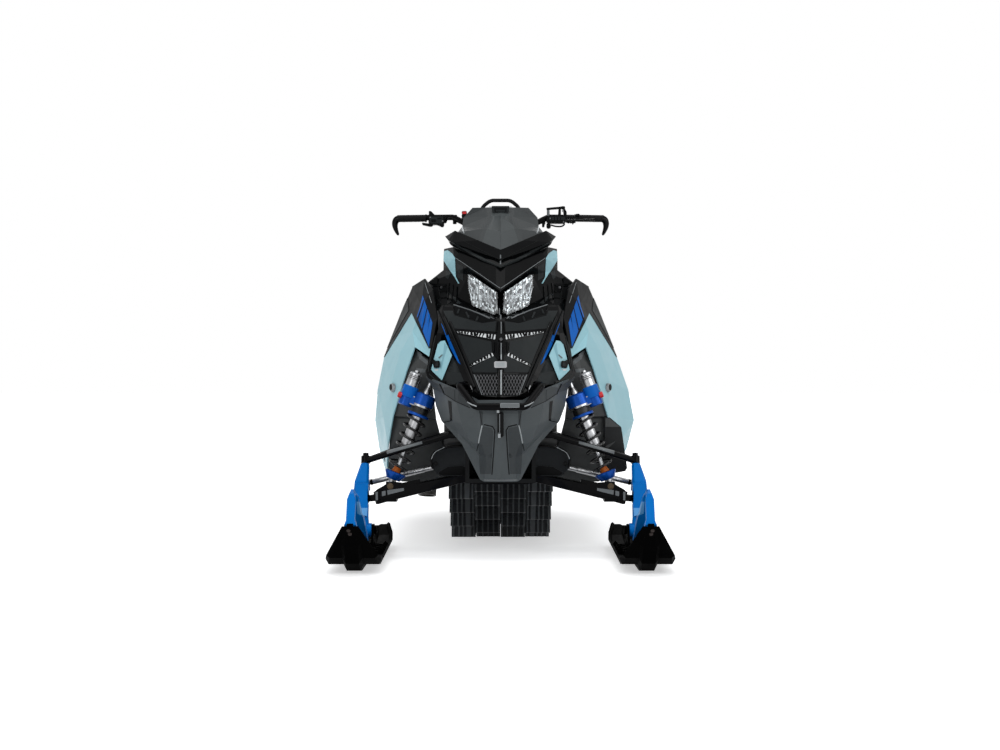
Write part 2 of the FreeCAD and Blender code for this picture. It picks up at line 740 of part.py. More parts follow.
def make_skid_arms(flat_z, rail_top):
    """The two swing arms that hang the skid in the tunnel, with the dampers between them."""
    inside = D.tunnel_half_width - D.tunnel_wall - D.seat_gap
    shapes = []
    for top_y, top_z, foot_y in (
        (D.front_arm_y, D.front_arm_z, D.bow_y + 130),
        (D.rear_arm_y, D.rear_arm_z, D.bow_y + 640),
    ):
        foot_z = rail_top + 14
        reach = D.rail_x - 30
        shapes.append(rod(vec(-inside, top_y, top_z), vec(inside, top_y, top_z), 14))
        shapes.append(rod(vec(-D.rail_x - 10, foot_y, foot_z), vec(D.rail_x + 10, foot_y, foot_z), 12))
        for side in (LEFT, RIGHT):
            top = vec(side * reach, top_y, top_z)
            shapes.append(rod(top, vec(side * reach, foot_y, foot_z), 12))
    feature("skid_arms", Part.makeCompound([fused(shapes[:4]), fused(shapes[4:])]))


# Bulkhead and engine

def make_bulkhead():
    """The front casting: side plates with windows, a deck, shock towers and steering boots."""
    half, wall = D.bulkhead_half_width, D.bulkhead_wall
    front, rear = bulkhead_front_y, tunnel_front_y - D.seat_gap
    low, top = D.bulkhead_low_z, D.bulkhead_top_z
    shell = block(-half, half, front, rear, low, top)
    hollow = block(wall - half, half - wall, front - 1, rear - wall, low + wall, top - wall)
    shell = shell.cut(hollow)
    for side in (LEFT, RIGHT):
        for start, end in ((front + 74, front + 128), (front + 140, rear - 34)):
            x = span(side * (half - wall * 0.4), side * (half + 1))
            shell = shell.cut(block(*x, start, end, low + 196, top - 46))
    parts = [shell]
    eye_y, eye_z = pivot_y + D.shock_top_behind, D.shock_top_z
    ear = D.shock_eye_half + D.seat_gap
    for side in (LEFT, RIGHT):
        root = vec(side * (half - 8), eye_y, top - 16)
        for way in (-1, 1):
            y = eye_y + way * (ear + 5)
            tip = vec(side * (D.shock_top_x + 12), y, eye_z + 4)
            parts.append(bar(vec(side * (half - 20), y, top - 20), tip, (10, 60), (10, 34)))
        parts.append(block(*span(side * 60, side * (half - 2)), root.y - 30, root.y + 30, top - 12, top + 6))
    boots = tie_rod_boots()
    return feature("bulkhead", fused(parts + boots[0]).cut(boots[1]))


def span(a, b):
    """Two values in rising order."""
    return (a, b) if float(a) < float(b) else (b, a)


def tie_rod_ends():
    """The outer and inner ends of the left tie rod."""
    height = D.steer_arm_height + D.steer_arm_thick + D.running_gap + D.tie_eye_height / 2
    outer = on_kingpin(height, 0, D.steer_arm_length)
    run = outer.x - float(D.tie_inner_x)
    inner_y = outer.y - float(D.tie_forward)
    inner = Vector(float(D.tie_inner_x), inner_y, outer.z + run * float(D.tie_slope))
    return outer, inner


def tie_rod_boots():
    """Rack boots on the bulkhead, as solids to add and a solid to cut."""
    inner = tie_rod_ends()[1]
    x0, x1 = float(D.bulkhead_half_width) - 6, float(D.tie_inner_x) + 52
    outside = [
        rod(Vector(s * x0, inner.y, inner.z), Vector(s * x1, inner.y, inner.z), D.boot_radius)
        for s in (LEFT, RIGHT)
    ]
    reach = D.boot_radius - D.boot_wall
    bore = rod(Vector(-x1 - 1, inner.y, inner.z), Vector(x1 + 1, inner.y, inner.z), reach)
    return outside, bore


def make_engine():
    half = D.engine_half_width
    rear = engine_front_y + D.engine_length
    base = D.bulkhead_top_z + D.seat_gap
    body = doc.addObject("PartDesign::Body", "EngineBody")
    outline = [
        (engine_front_y, base),
        (rear, base),
        (rear, base + D.engine_height * 0.8),
        (rear - 60, base + D.engine_height),
        (engine_front_y + 90, base + D.engine_height),
        (engine_front_y, base + D.engine_height * 0.6),
    ]
    body.Tip = pad(body, sketch_on(body, "YZ_Plane", "EngineSide", outline), half * 2)
    return node(body, "engine_block")


# Front suspension

def housing(middle, height):
    """A ball joint housing along the kingpin."""
    along = Vector(0, math.sin(lean), math.cos(lean))
    half = float(height) / 2
    return rod(middle - along * half, middle + along * half, D.ball_housing_radius)


def stud_bore(middle):
    along = Vector(0, math.sin(lean), math.cos(lean))
    return rod(middle - along * 60, middle + along * 60, D.ball_stud_radius + D.pin_clearance)


def make_lower_arms():
    ball = on_kingpin(D.lower_ball)
    neck = Vector(ball.x - float(D.arm_neck), ball.y, ball.z + 6)
    shapes = [housing(ball, D.ball_housing_height)]
    shapes.append(bar(ball, neck, (22, 20), (40, 24)))
    for y in (pivot_y - D.arm_front_ahead, pivot_y + D.arm_rear_behind):
        end = vec(D.arm_inner_x, y, D.arm_inner_z)
        toward = (end - neck).normalize()
        root = (D.arm_leg_width, D.arm_root_height)
        shapes.append(bar(neck - toward * 14, end, root, (D.arm_leg_width, D.arm_leg_height)))
        half = float(D.arm_bush_length) / 2
        shapes.append(rod(end - Vector(0, half, 0), end + Vector(0, half, 0), D.arm_bush_radius))
    eye = vec(D.shock_low_x, pivot_y + D.shock_low_behind, D.shock_low_z)
    ear = float(D.shock_eye_half + D.seat_gap)
    foot = eye.z - float(D.shock_eye_radius) - 3
    shapes.append(block(eye.x - 24, eye.x + 24, eye.y - 46, eye.y + 46, foot - 36, foot))
    for way in (-1, 1):
        y = span(eye.y + way * ear, eye.y + way * (ear + 7))
        shapes.append(block(eye.x - 15, eye.x + 15, y[0], y[1], foot - 4, eye.z + 14))
    room = Vector(0, ear, 0)
    arm = fused(shapes).cut(stud_bore(ball)).cut(rod(eye - room, eye + room, D.shock_eye_radius + 3))
    bulk = block(-D.bulkhead_half_width - 0.3, D.bulkhead_half_width + 0.3, -2000, 0, 0, 2000)
    return feature("lower_arms", both_sides(arm.cut(bulk)))


def make_upper_arms():
    """Two bent tubes a side, so that the shock passes between them."""
    ball = on_kingpin(D.upper_ball)
    rise = float(D.upper_arm_inner_z) - ball.z
    run = ball.x - float(D.upper_arm_inner_x)
    shapes = [housing(ball, D.ball_housing_height)]
    pivots = ((pivot_y - D.upper_front_ahead, 350, -15), (pivot_y + D.upper_rear_behind, 385, 114))
    for y, knee_x, knee_back in pivots:
        end = vec(D.upper_arm_inner_x, y, D.upper_arm_inner_z)
        knee = Vector(knee_x, float(pivot_y) + knee_back, ball.z + rise * (ball.x - knee_x) / run)
        start = ball - Vector(0, 0, 4)
        shapes.append(bent_tube([start, knee, end], D.upper_arm_radius, 36))
        root = vec(D.bulkhead_half_width + D.seat_gap, y, D.upper_arm_inner_z)
        shapes.append(rod(end + Vector(9, 0, 0), root, D.upper_arm_radius + 3))
    cap = float(D.upper_ball + D.ball_housing_height / 2)
    clear = float(D.ball_stud_radius + 4 + D.running_gap)
    over_cap = rod(on_kingpin(cap), on_kingpin(cap + 30), clear)
    arm = fused(shapes).cut(stud_bore(ball)).cut(over_cap)
    return feature("upper_arms", both_sides(arm))


# Where the upper spring seat lies, as a share of the damper
SPRING_TOP = 0.615


def shock_line():
    low = vec(D.shock_low_x, pivot_y + D.shock_low_behind, D.shock_low_z)
    top = vec(D.shock_top_x, pivot_y + D.shock_top_behind, D.shock_top_z)
    return low, top, (top - low).normalize()


def make_shocks():
    """Dampers with a remote reservoir, held by a bridge beside the upper spring seat."""
    low, top, along = shock_line()
    length = (top - low).Length
    half = Vector(0, float(D.shock_eye_half), 0)
    body, reservoir = float(D.shock_body_radius), float(D.reservoir_radius)
    seat = float(D.spring_radius) + 4

    def at(share):
        return low + along * (length * share)

    shapes = [
        rod(low - half, low + half, D.shock_eye_radius),
        rod(top - half, top + half, D.shock_eye_radius),
        rod(low, at(0.4), D.shock_rod_radius),
        Part.makeCone(body, seat, length * 0.06, at(0.055), along),
        rod(at(0.115), at(0.122), seat),
        Part.makeCone(15, 10, length * 0.045, at(0.122), along),
        rod(at(0.34), at(0.62), body),
        rod(at(SPRING_TOP), at(0.64), seat),
        rod(at(0.63), at(0.76), seat - 6),
        rod(at(0.76), at(1.0), 8.5),
        rod(at(0.76), at(0.84), 11),
    ]
    outward = Vector(0, 1, 0).cross(along).normalize()
    beside = outward * float(D.reservoir_offset)
    start = at(0.66) + beside
    tall = float(D.reservoir_length)
    shapes.append(rod(start, start + along * tall, reservoir))
    shapes.append(rod(start - along * 8, start + along * tall * 0.62, reservoir + 4))
    shapes.append(rod(start + along * tall, start + along * (tall + 10), reservoir - 7))
    shapes.append(bar(at(0.7), at(0.7) + beside, (34, 44), (34, 44)))
    return feature("front_shocks", both_sides(fused(shapes)))


def make_springs():
    """Coil springs with a six-sided wire."""
    low, top, along = shock_line()
    length = (top - low).Length
    start = low + along * (length * 0.122 + float(D.seat_gap))
    end = low + along * (length * SPRING_TOP - float(D.seat_gap))
    side = along.cross(Vector(1, 0, 0)).normalize()
    other = along.cross(side)
    turns, steps = 6, 12
    wire = float(D.spring_wire_radius)
    radius = float(D.spring_radius)
    total = turns * steps
    rim = wire * math.sin(math.radians(60))
    lift = (end - start).Length - 2 * rim

    def centre(i):
        angle = 2 * math.pi * i / steps
        spread = side * (radius * math.cos(angle)) + other * (radius * math.sin(angle))
        return start + along * (rim + lift * i / total) + spread

    outlines = []
    for i in range(total + 1):
        angle = 2 * math.pi * i / steps
        outward = side * math.cos(angle) + other * math.sin(angle)
        outlines.append(
            [
                centre(i)
                + outward * (wire * math.cos(math.radians(60 * k)))
                + along * (wire * math.sin(math.radians(60 * k)))
                for k in range(6)
            ]
        )
    return feature("front_springs", both_sides(loft(outlines, ruled=True)))


def octagon(height, x0, x1, y0, y1, corner):
    """A chamfered rectangle across the kingpin."""
    c = corner
    points = [
        (x0 + c, y0), (x1 - c, y0), (x1, y0 + c), (x1, y1 - c),
        (x1 - c, y1), (x0 + c, y1), (x0, y1 - c), (x0, y0 + c),
    ]
    return [vec(x, y, height) for x, y in points]


def make_spindle(side, name):
    """The upright that carries a ski: forked round the lower ball joint, with the steering arm behind."""
    wide, deep = float(D.spindle_width), float(D.spindle_depth)
    inner = -wide * 0.27
    top = float(D.upper_ball - D.ball_housing_height / 2 - D.running_gap)
    sections = [
        (-4, -20, 22, -20, 20),
        (50, inner, wide * 0.58, -deep * 0.42, deep * 0.36),
        (float(D.lower_ball), inner, wide * 0.73, -deep * 0.58, deep * 0.42),
        (float(D.steer_arm_height), inner, wide * 0.66, -deep * 0.55, deep * 0.42),
        (top, -wide * 0.25, wide * 0.3, -deep * 0.3, deep * 0.3),
    ]
    body = loft([octagon(h, a, b, c, d, 7) for h, a, b, c, d in sections], ruled=True)
    half = float(D.boss_half_width)
    boss = Part.makeCylinder(float(D.boss_radius), 2 * half, Vector(-half, 0, 0), Vector(1, 0, 0))
    arm_z = float(D.steer_arm_height)
    thick = float(D.steer_arm_thick)
    reach = float(D.steer_arm_length)
    arm = block(-13, 13, 10, reach, arm_z, arm_z + thick)
    arm_end = Part.makeCylinder(13, thick, Vector(0, reach, arm_z))
    solid = fused([body, boss, arm, arm_end])
    pocket_half = float(D.ball_housing_height) / 2 + float(D.running_gap)
    ball = float(D.lower_ball)
    wall_x = float(D.ball_housing_radius) + float(D.running_gap)
    solid = solid.cut(block(-90, wall_x, -90, 90, ball - pocket_half, ball + pocket_half))
    stud = float(D.ball_stud_radius)
    upper = float(D.upper_ball)
    above = upper + float(D.ball_housing_height) / 2
    tie_top = arm_z + thick + float(D.running_gap) + float(D.tie_eye_height)
    pins = [
        Part.makeCylinder(stud, 2 * pocket_half + 8, Vector(0, 0, ball - pocket_half - 4)),
        Part.makeCylinder(stud, above + 4 - top + 6, Vector(0, 0, top - 6)),
        Part.makeCylinder(stud + 4, 8, Vector(0, 0, above + 3)),
        Part.makeCylinder(float(D.tie_stud_radius), tie_top + 3 - arm_z, Vector(0, reach, arm_z)),
        Part.makeCylinder(float(D.tie_stud_radius) + 3, 7, Vector(0, reach, tie_top + 2)),
    ]
    solid = fused([solid] + pins)
    bore = float(D.ski_bolt_radius) + float(D.pin_clearance)
    hole = Part.makeCylinder(bore, 200, Vector(-100, 0, 0), Vector(1, 0, 0))
    solid = solid.cut(hole)
    if side == RIGHT:
        solid = mirrored(solid)
    return feature(f"spindle_{name}", solid, kingpin_frame(side))


def make_tie_rod(side, name):
    outer, inner = tie_rod_ends()
    along = Vector(0, math.sin(lean), math.cos(lean))
    half = float(D.tie_eye_height) / 2
    eye = rod(outer - along * half, outer + along * half, D.tie_eye_radius)
    shaft = rod(outer + (inner - outer).normalize() * 10.5, inner, D.tie_rod_radius)
    ball = Part.makeSphere(13, inner)
    bore = rod(outer - along * 40, outer + along * 40, D.tie_stud_radius + D.pin_clearance)
    solid = fused([eye, shaft, ball]).cut(bore)
    return feature(f"tie_rod_{name}", solid if side == LEFT else mirrored(solid))


# Skis

def ski_rows():
    """Stations along the ski: distance behind the tip, floor height, half width, keel share, edge share.

    From the front the upturned tip is a trapezoid: it narrows evenly as it rises.
    """
    length = float(D.ski_length)
    wide = float(D.ski_half_width)
    floor = float(D.keel_depth)
    rise_tip = float(D.ski_tip_z) - floor
    rise_tail = float(D.ski_tail_z) - floor
    tip, tail = float(D.ski_tip_half_width), float(D.ski_tail_half_width)
    return [
        (0, floor + rise_tip, tip, 0.1, 0.05),
        (0.04 * length, floor + rise_tip * 0.6, tip + (wide - tip) * 0.47, 0.4, 0.2),
        (0.085 * length, floor + rise_tip * 0.24, tip + (wide - tip) * 0.86, 0.8, 0.5),
        (0.14 * length, floor + rise_tip * 0.05, wide * 0.985, 0.95, 0.9),
        (0.21 * length, floor, wide, 1, 1),
        (0.80 * length, floor, wide * 0.92, 1, 1),
        (0.92 * length, floor + rise_tail * 0.35, (wide + tail) / 2, 0.7, 0.9),
        (length, floor + rise_tail, tail, 0.2, 0.5),
    ]


def ski_gussets(mid, floor_top, outside):
    """Cross ribs between the saddle and the edges, each rising to a crest."""
    reach = float(D.ski_half_width) * 0.86
    crest = floor_top + float(D.gusset_height)
    ribs = []
    for step in (-2, -1, 0, 1, 2):
        y = mid + step * float(D.gusset_pitch)
        for way in (-1, 1):
            start = way * (outside - 2 if abs(step) < 2 else 8)
            outline = [
                Vector(start, y, floor_top - 3), Vector(way * reach, y, floor_top - 3),
                Vector(way * reach, y, floor_top + 8), Vector(way * (reach - 12), y, crest - 8),
                Vector(way * (reach - 22), y, floor_top + 10), Vector(start, y, crest - 14),
            ]
            ribs.append(prism(outline, Vector(0, float(D.gusset_thick), 0)))
    return ribs


def make_ski(side, name):
    """A moulded ski with its keel, and the saddle that takes the spindle foot."""
    front = float(tip_y)
    rows = []
    for back, floor, half, keel, edge in ski_rows():
        y = front + back
        root = min(float(D.keel_half_width), half * 0.6)
        foot = root * float(D.keel_foot_half_width / D.keel_half_width)
        deep = float(D.keel_depth) * keel
        side_z = floor + float(D.ski_edge_height) * edge
        across = [
            (-half, side_z), (-half + 10, floor), (-root, floor), (-foot, floor - deep),
            (foot, floor - deep), (root, floor), (half - 10, floor), (half, side_z),
        ]
        rows.append([Vector(x, y, z) for x, z in across])
    plate = thick_grid(rows, D.ski_thick, (0, 0, -1))
    floor_top = float(D.keel_depth + D.ski_thick)
    inside = float(D.boss_half_width + D.saddle_side_gap)
    outside = inside + float(D.saddle_wall)
    mid, half_l = float(pivot_y), float(D.saddle_length) / 2
    axis = Vector(0, mid, float(D.pivot_z))
    parts = [plate]
    for way in (-1, 1):
        x = sorted((way * inside, way * outside))
        ear = prism(
            [
                Vector(x[0], mid - half_l, floor_top - 3),
                Vector(x[0], mid + half_l, floor_top - 3),
                Vector(x[0], mid + half_l * 0.32, axis.z + 20),
                Vector(x[0], mid - half_l * 0.32, axis.z + 20),
            ],
            Vector(x[1] - x[0], 0, 0),
        )
        parts.append(ear)
    parts.append(block(-outside, outside, mid - half_l, mid + half_l, floor_top - 3, floor_top + 5))
    parts += ski_gussets(mid, floor_top, outside)
    tip_z = float(D.ski_tip_z)
    tip_block = [
        Vector(-10, front + 2, tip_z - 2), Vector(-10, front + 2, tip_z + 14),
        Vector(-10, front + 60, tip_z - 48), Vector(-10, front + 60, tip_z - 84),
    ]
    parts.append(prism(tip_block, Vector(20, 0, 0)))
    reach = outside + 9
    parts.append(rod(axis - Vector(reach, 0, 0), axis + Vector(reach, 0, 0), D.ski_bolt_radius))
    for way in (-1, 1):
        parts.append(rod(axis + Vector(way * outside, 0, 0), axis + Vector(way * reach, 0, 0), 14))
    ski = fused(parts)
    ski.translate(vec(side * D.ski_x, 0, 0))
    return feature(f"ski_{name}", ski)


def make_ski_loop(side, name):
    """The handle that rises from the ski tip and runs back to the saddle."""
    front = float(tip_y)
    half = float(D.loop_width) / 2
    x = float(D.ski_x) - half
    thick = float(D.loop_thick)
    top = float(D.loop_rise)
    foot_z = float(D.keel_depth + D.ski_thick) + 5 + float(D.seat_gap)
    end_y = float(pivot_y) - float(D.saddle_length) / 2 + 12
    tip_z = float(D.ski_tip_z) + float(D.seat_gap) * 1.5
    outer = [
        Vector(x, front + 6, tip_z + 10),
        Vector(x, front + 62, top - 12),
        Vector(x, front + 92, top),
        Vector(x, front + 130, top - 4),
        Vector(x, end_y, foot_z + 46),
        Vector(x, end_y, foot_z),
        Vector(x, end_y - thick * 2, foot_z),
    ]
    inner = [
        Vector(x, end_y - thick * 2, foot_z + 34),
        Vector(x, front + 128, top - thick - 6),
        Vector(x, front + 98, top - thick - 4),
        Vector(x, front + 74, top - thick - 16),
        Vector(x, front + 36, tip_z - 22),
    ]
    slim = float(D.loop_blade_width) / 2
    blade = [(half, 20), (half, tip_z + 8), (slim, tip_z + 22), (slim, top - 30), (3, top + 1)]
    blade += [(-across_x, z) for across_x, z in reversed(blade)]
    middle = float(D.ski_x)
    face = prism([Vector(middle + across_x, front - 50, z) for across_x, z in blade], Vector(0, 900, 0))
    solid = prism(outer + inner, Vector(half * 2, 0, 0)).common(face)
    if side == RIGHT:
        solid = mirrored(solid)
    return feature(f"ski_loop_{name}", solid)


# Steering

def post_frame():
    return Placement(vec(0, D.bar_y, D.bar_z), Rotation(Vector(1, 0, 0), -math.degrees(post_lean)))


def make_over_frame():
    """The tube frame above the bulkhead and tunnel, with the bearing of the steering post."""
    frame = post_frame()
    low = -float(post_length) + 6
    ring = Part.makeCylinder(float(D.post_radius) + 9, 40, Vector(0, 0, low))
    ring.Placement = frame
    middle = frame.multVec(Vector(0, 0, low + 20))
    tubes = [ring]
    deck = float(D.bulkhead_top_z + D.seat_gap)
    top = float(D.tunnel_top_front + D.seat_gap)
    for way in (LEFT, RIGHT):
        front = Vector(way * float(D.engine_half_width), float(engine_front_y) - 12, deck + 165)
        foot = Vector(way * (float(D.bulkhead_half_width) - 20), float(engine_front_y) - 90, deck + 9)
        rear = Vector(way * (float(D.tunnel_half_width) - 22), float(D.console_front_y) - 34, top + 9)
        tubes.append(rod(middle, front, 10))
        tubes.append(rod(front, foot, 10))
        tubes.append(Part.makeSphere(12, front))
        tubes.append(rod(middle, rear, 10))
        tubes.append(block(foot.x - 24, foot.x + 24, foot.y - 20, foot.y + 20, deck, deck + 8))
        tubes.append(block(rear.x - 20, rear.x + 20, rear.y - 26, rear.y + 26, top, top + 8))
    bore = Part.makeCylinder(float(D.post_radius + D.pin_clearance), 400, Vector(0, 0, low - 40))
    bore.Placement = frame
    for way in (LEFT, RIGHT):
        corner = Vector(way * float(D.engine_half_width), float(engine_front_y) - 12, deck + 165)
        tubes.append(reaching(corner, (0, -1, 0.1), 8, shape_of("hood")))
    under = block(-400, 400, pivot_y - 225, tunnel_front_y - 5, 0, deck)
    behind = block(-400, 400, tunnel_front_y, tunnel_front_y + 815, 0, top)
    return feature("over_frame", fused(tubes).cut(fused([bore])).cut(under).cut(behind))


def bar_side():
    """The middle line of the left half of the handlebar, from the clamp to its end."""
    y, z = float(D.bar_y), float(D.bar_z)
    grip_z = float(D.grip_z)
    bend_x = float(D.bar_bend_x)
    return [
        Vector(0, y, z),
        Vector(62, y, z),
        Vector(bend_x, y + 12, grip_z),
        Vector(float(D.grip_outer_x), y + 32, grip_z - 1),
    ]


def make_steering():
    frame = post_frame()
    length = float(post_length)
    post = Part.makeCylinder(float(D.post_radius), length - 16, Vector(0, 0, -length))
    clamp = block(-38, 38, -24, 24, -20, -float(D.bar_radius) - float(D.seat_gap))
    feature("steering_post", fused([post, clamp]), frame)
    tube = bent_tube(bar_side(), D.bar_radius, 30)
    feature("handlebar", fused([tube, mirrored(tube)]))
    bend, end = bar_side()[2:]
    along = (end - bend).normalize()
    make_grips(bend, end, along)
    make_controls(bend, along)
    make_strap()


def make_grips(bend, end, along):
    """Rubber grips whose closed outer ends taper into hooks that point down."""
    radius = float(D.grip_radius)
    start = bend + along * float(D.grip_inner_x - D.bar_bend_x)
    sleeve = rod(start, end, radius)
    bore = rod(start - along * 5, end + along * float(D.seat_gap), D.bar_radius + D.seat_gap * 0.2)
    drop = float(D.hook_drop)
    sections = []
    for reach, fall, share, turn in (
        (0, 0, 1, 0), (0.16, 0.03, 1.02, 25), (0.29, 0.17, 0.98, 58), (0.33, 0.42, 0.86, 84),
        (0.27, 0.72, 0.66, 100), (0.17, 1, 0.42, 106),
    ):
        middle = end + Vector(reach * drop, reach * drop * 0.2, -fall * drop)
        facing = Rotation(Vector(0, 1, 0), turn).multVec(along)
        sections.append(Part.Wire([Part.makeCircle(radius * share, middle, facing)]))
    hook = Part.makeLoft(sections, True, False)
    grip = fused([sleeve, hook]).cut(bore)
    feature("grips", both_sides(grip))


def make_controls(bend, along):
    """The throttle block with its thumb lever on the right, the brake cylinder with its lever on the left."""
    hole = float(D.bar_radius) + 0.06
    y = bend.y
    gap = float(D.running_gap) / 2
    outer = bend + along * (float(D.grip_inner_x - D.bar_bend_x) - gap)
    inner = outer - along * float(D.control_length)
    z = float(D.grip_z)
    sleeve = rod(inner, outer, hole + 7)
    x0, x1 = inner.x, outer.x
    bore = rod(inner - along * 60, outer + along * 40, hole)
    housing = prism(
        [
            Vector(x0, y - 30, z + 15), Vector(x1 - 4, y - 30, z + 15), Vector(x1, y - 30, z + 8),
            Vector(x1, y - 30, z - 14), Vector(x1 - 14, y - 30, z - 22), Vector(x0 + 10, y - 30, z - 22),
            Vector(x0, y - 30, z - 12),
        ],
        Vector(0, 34, 0),
    )
    fin = prism(
        [Vector(x1 - 3, y - 26, z + 12), Vector(x1 - 3, y - 26, z + 36), Vector(x1 - 32, y - 26, z + 14)],
        Vector(0, 10, 0),
    )
    lever = prism(
        [
            Vector(x1 - 22, y - 24, z - 20), Vector(x1 + 30, y - 24, z - 17),
            Vector(x1 + 30, y - 24, z - 27), Vector(x1 - 20, y - 24, z - 34),
        ],
        Vector(0, 12, 0),
    )
    throttle = fused([sleeve, housing, fin, lever]).cut(bore)
    cylinder_body = prism(
        [
            Vector(x0 - 8, y - 34, z - 14), Vector(x1 + 2, y - 34, z - 14), Vector(x1 + 2, y - 34, z + 12),
            Vector(x0 + 8, y - 34, z + 14), Vector(x0 - 8, y - 34, z + 6),
        ],
        Vector(0, 38, 0),
    )
    guard = block(x0 - 6, x0 + 62, y - 34, y - 22, z + 10, z + 50)
    window = block(x0 + 4, x0 + 40, y - 40, y - 10, z + 16, z + 41)
    brake_lever = bar(Vector(x1 - 12, y - 35, z - 4), Vector(x1 + 88, y - 50, z - 6), (9, 20), (8, 13))
    brake = fused([sleeve, cylinder_body, guard.cut(window), brake_lever]).cut(bore)
    feature("hand_controls", Part.makeCompound([brake, mirrored(throttle)]))


def make_strap():
    """The grab strap: a round arch over the middle of the handlebar, clamped at both feet."""
    y, z = float(D.bar_y), float(D.bar_z)
    foot = 47
    left = [Vector(foot, y, z + 14), Vector(foot + 34, y - 6, z + 84), Vector(38, y - 14, z + 119)]
    arc = left + [Vector(-p.x, p.y, p.z) for p in reversed(left)]
    strap = bent_tube(arc, 7, 38)
    collars = [block(*span(s * 39.5, s * 54.5), y - 16, y + 16, z - 16, z + 20) for s in (LEFT, RIGHT)]
    solid = fused([strap] + collars).cut(rod(Vector(-80, y, z), Vector(80, y, z), D.bar_radius + 0.06))
    feature("grab_strap", solid)


# Body panels

def seated(shape, on, way=None):
    """The shape moved until only the seat gap is left to what carries it.

    With no direction it moves along the shortest line between the two.
    """
    for _ in range(25):
        apart, pairs = shape.distToShape(on)[:2]
        left = apart - float(D.seat_gap)
        if left < 0.02:
            break
        line = Vector(*way) if way else pairs[0][1] - pairs[0][0]
        shape.translate(line.normalize() * left)
        if not way:
            break
    return shape


def reaching(start, way, radius, on):
    """A round stay that runs from a point until it stands the seat gap short of a piece."""
    along = Vector(*way).normalize()
    length = 1.0
    for _ in range(25):
        stay = rod(start, start + along * length, radius)
        left = stay.distToShape(on)[0] - float(D.seat_gap)
        if left < 0.02:
            break
        length += left
    return stay


def shape_of(label):
    """The shape of a sub-part that is already made."""
    return [o for o in NODES if o.Label == label][0].Shape


def grid(*rows):
    return [[vec(*p) for p in row] for row in rows]


def front_grid(*rows):
    """Rows of points whose second coordinate is the distance behind the ski bolt."""
    return [[vec(x, pivot_y + y, z) for x, y, z in row] for row in rows]


def across(row):
    """A row given on the left side, from the middle outwards, mirrored to the full width."""
    right = [(-x, y, z) for x, y, z in reversed(row) if x]
    return right + list(row)


def make_nose():
    """The grey front cover below the bumper, with two folds that run down to its foot."""
    rows = [
        across([(0, -203, 553), (75, -190, 552), (140, -145, 585), (193, -85, 605), (258, 15, 629)]),
        across([(0, -205, 506), (75, -190, 509), (147, -145, 538), (186, -95, 568), (233, 5, 591)]),
        across([(0, -197, 452), (72, -180, 451), (130, -145, 467), (172, -95, 489), (223, -5, 529)]),
        across([(0, -180, 401), (62, -170, 401), (103, -145, 413), (141, -105, 435), (203, -25, 477)]),
        across([(0, -160, 356), (49, -150, 356), (69, -135, 365), (90, -120, 382), (131, -107, 401)]),
        across([(0, -120, 273), (40, -115, 273), (54, -110, 273), (61, -107, 275), (70, -104, 281)]),
    ]
    cover = thick_grid(front_grid(*rows), D.panel_thick, (0, -1, 0)).cut(bumper_opening())
    return feature("nose_cover", seated(cover, shape_of("bulkhead"), (0, 1, 0)))


def make_belly():
    """The pan under the bulkhead."""
    low = D.bulkhead_low_z - D.seat_gap
    half = D.bulkhead_half_width
    rows = [
        [(-half + 40, bulkhead_front_y + 4, low), (half - 40, bulkhead_front_y + 4, low)],
        [(-half, bulkhead_front_y + 70, low), (half, bulkhead_front_y + 70, low)],
        [(-half, tunnel_front_y - 6, low), (half, tunnel_front_y - 6, low)],
    ]
    points = [[vec(*p) for p in row] for row in rows]
    outline = [points[0][0], points[0][1], points[1][1], points[2][1], points[2][0], points[1][0]]
    return feature("belly_pan", prism(outline, Vector(0, 0, -float(D.panel_thick))))


def bumper_line():
    """The front bumper's middle line, from its left foot round to its right foot."""
    ahead, z = float(pivot_y - D.bumper_ahead), float(D.bumper_z)
    left = [Vector(92, ahead + 191, z + 62), Vector(142, ahead + 66, z + 73), Vector(85, ahead, z)]
    return left + [Vector(-p.x, p.y, p.z) for p in reversed(left)]


def bumper_opening():
    """What the bumper tube clears in the panels that it passes through."""
    return bent_tube(bumper_line(), D.bumper_radius + D.tube_gap, 26)


def make_bumper():
    line = bumper_line()
    deck = D.bulkhead_top_z + D.seat_gap
    foot = line[0]
    feet = [
        block(*span(s * (foot.x - 16), s * (foot.x + 16)), foot.y - 19, foot.y + 17, deck, deck + 10)
        for s in (LEFT, RIGHT)
    ]
    return feature("front_bumper", fused([bent_tube(line, D.bumper_radius, 26)] + feet))


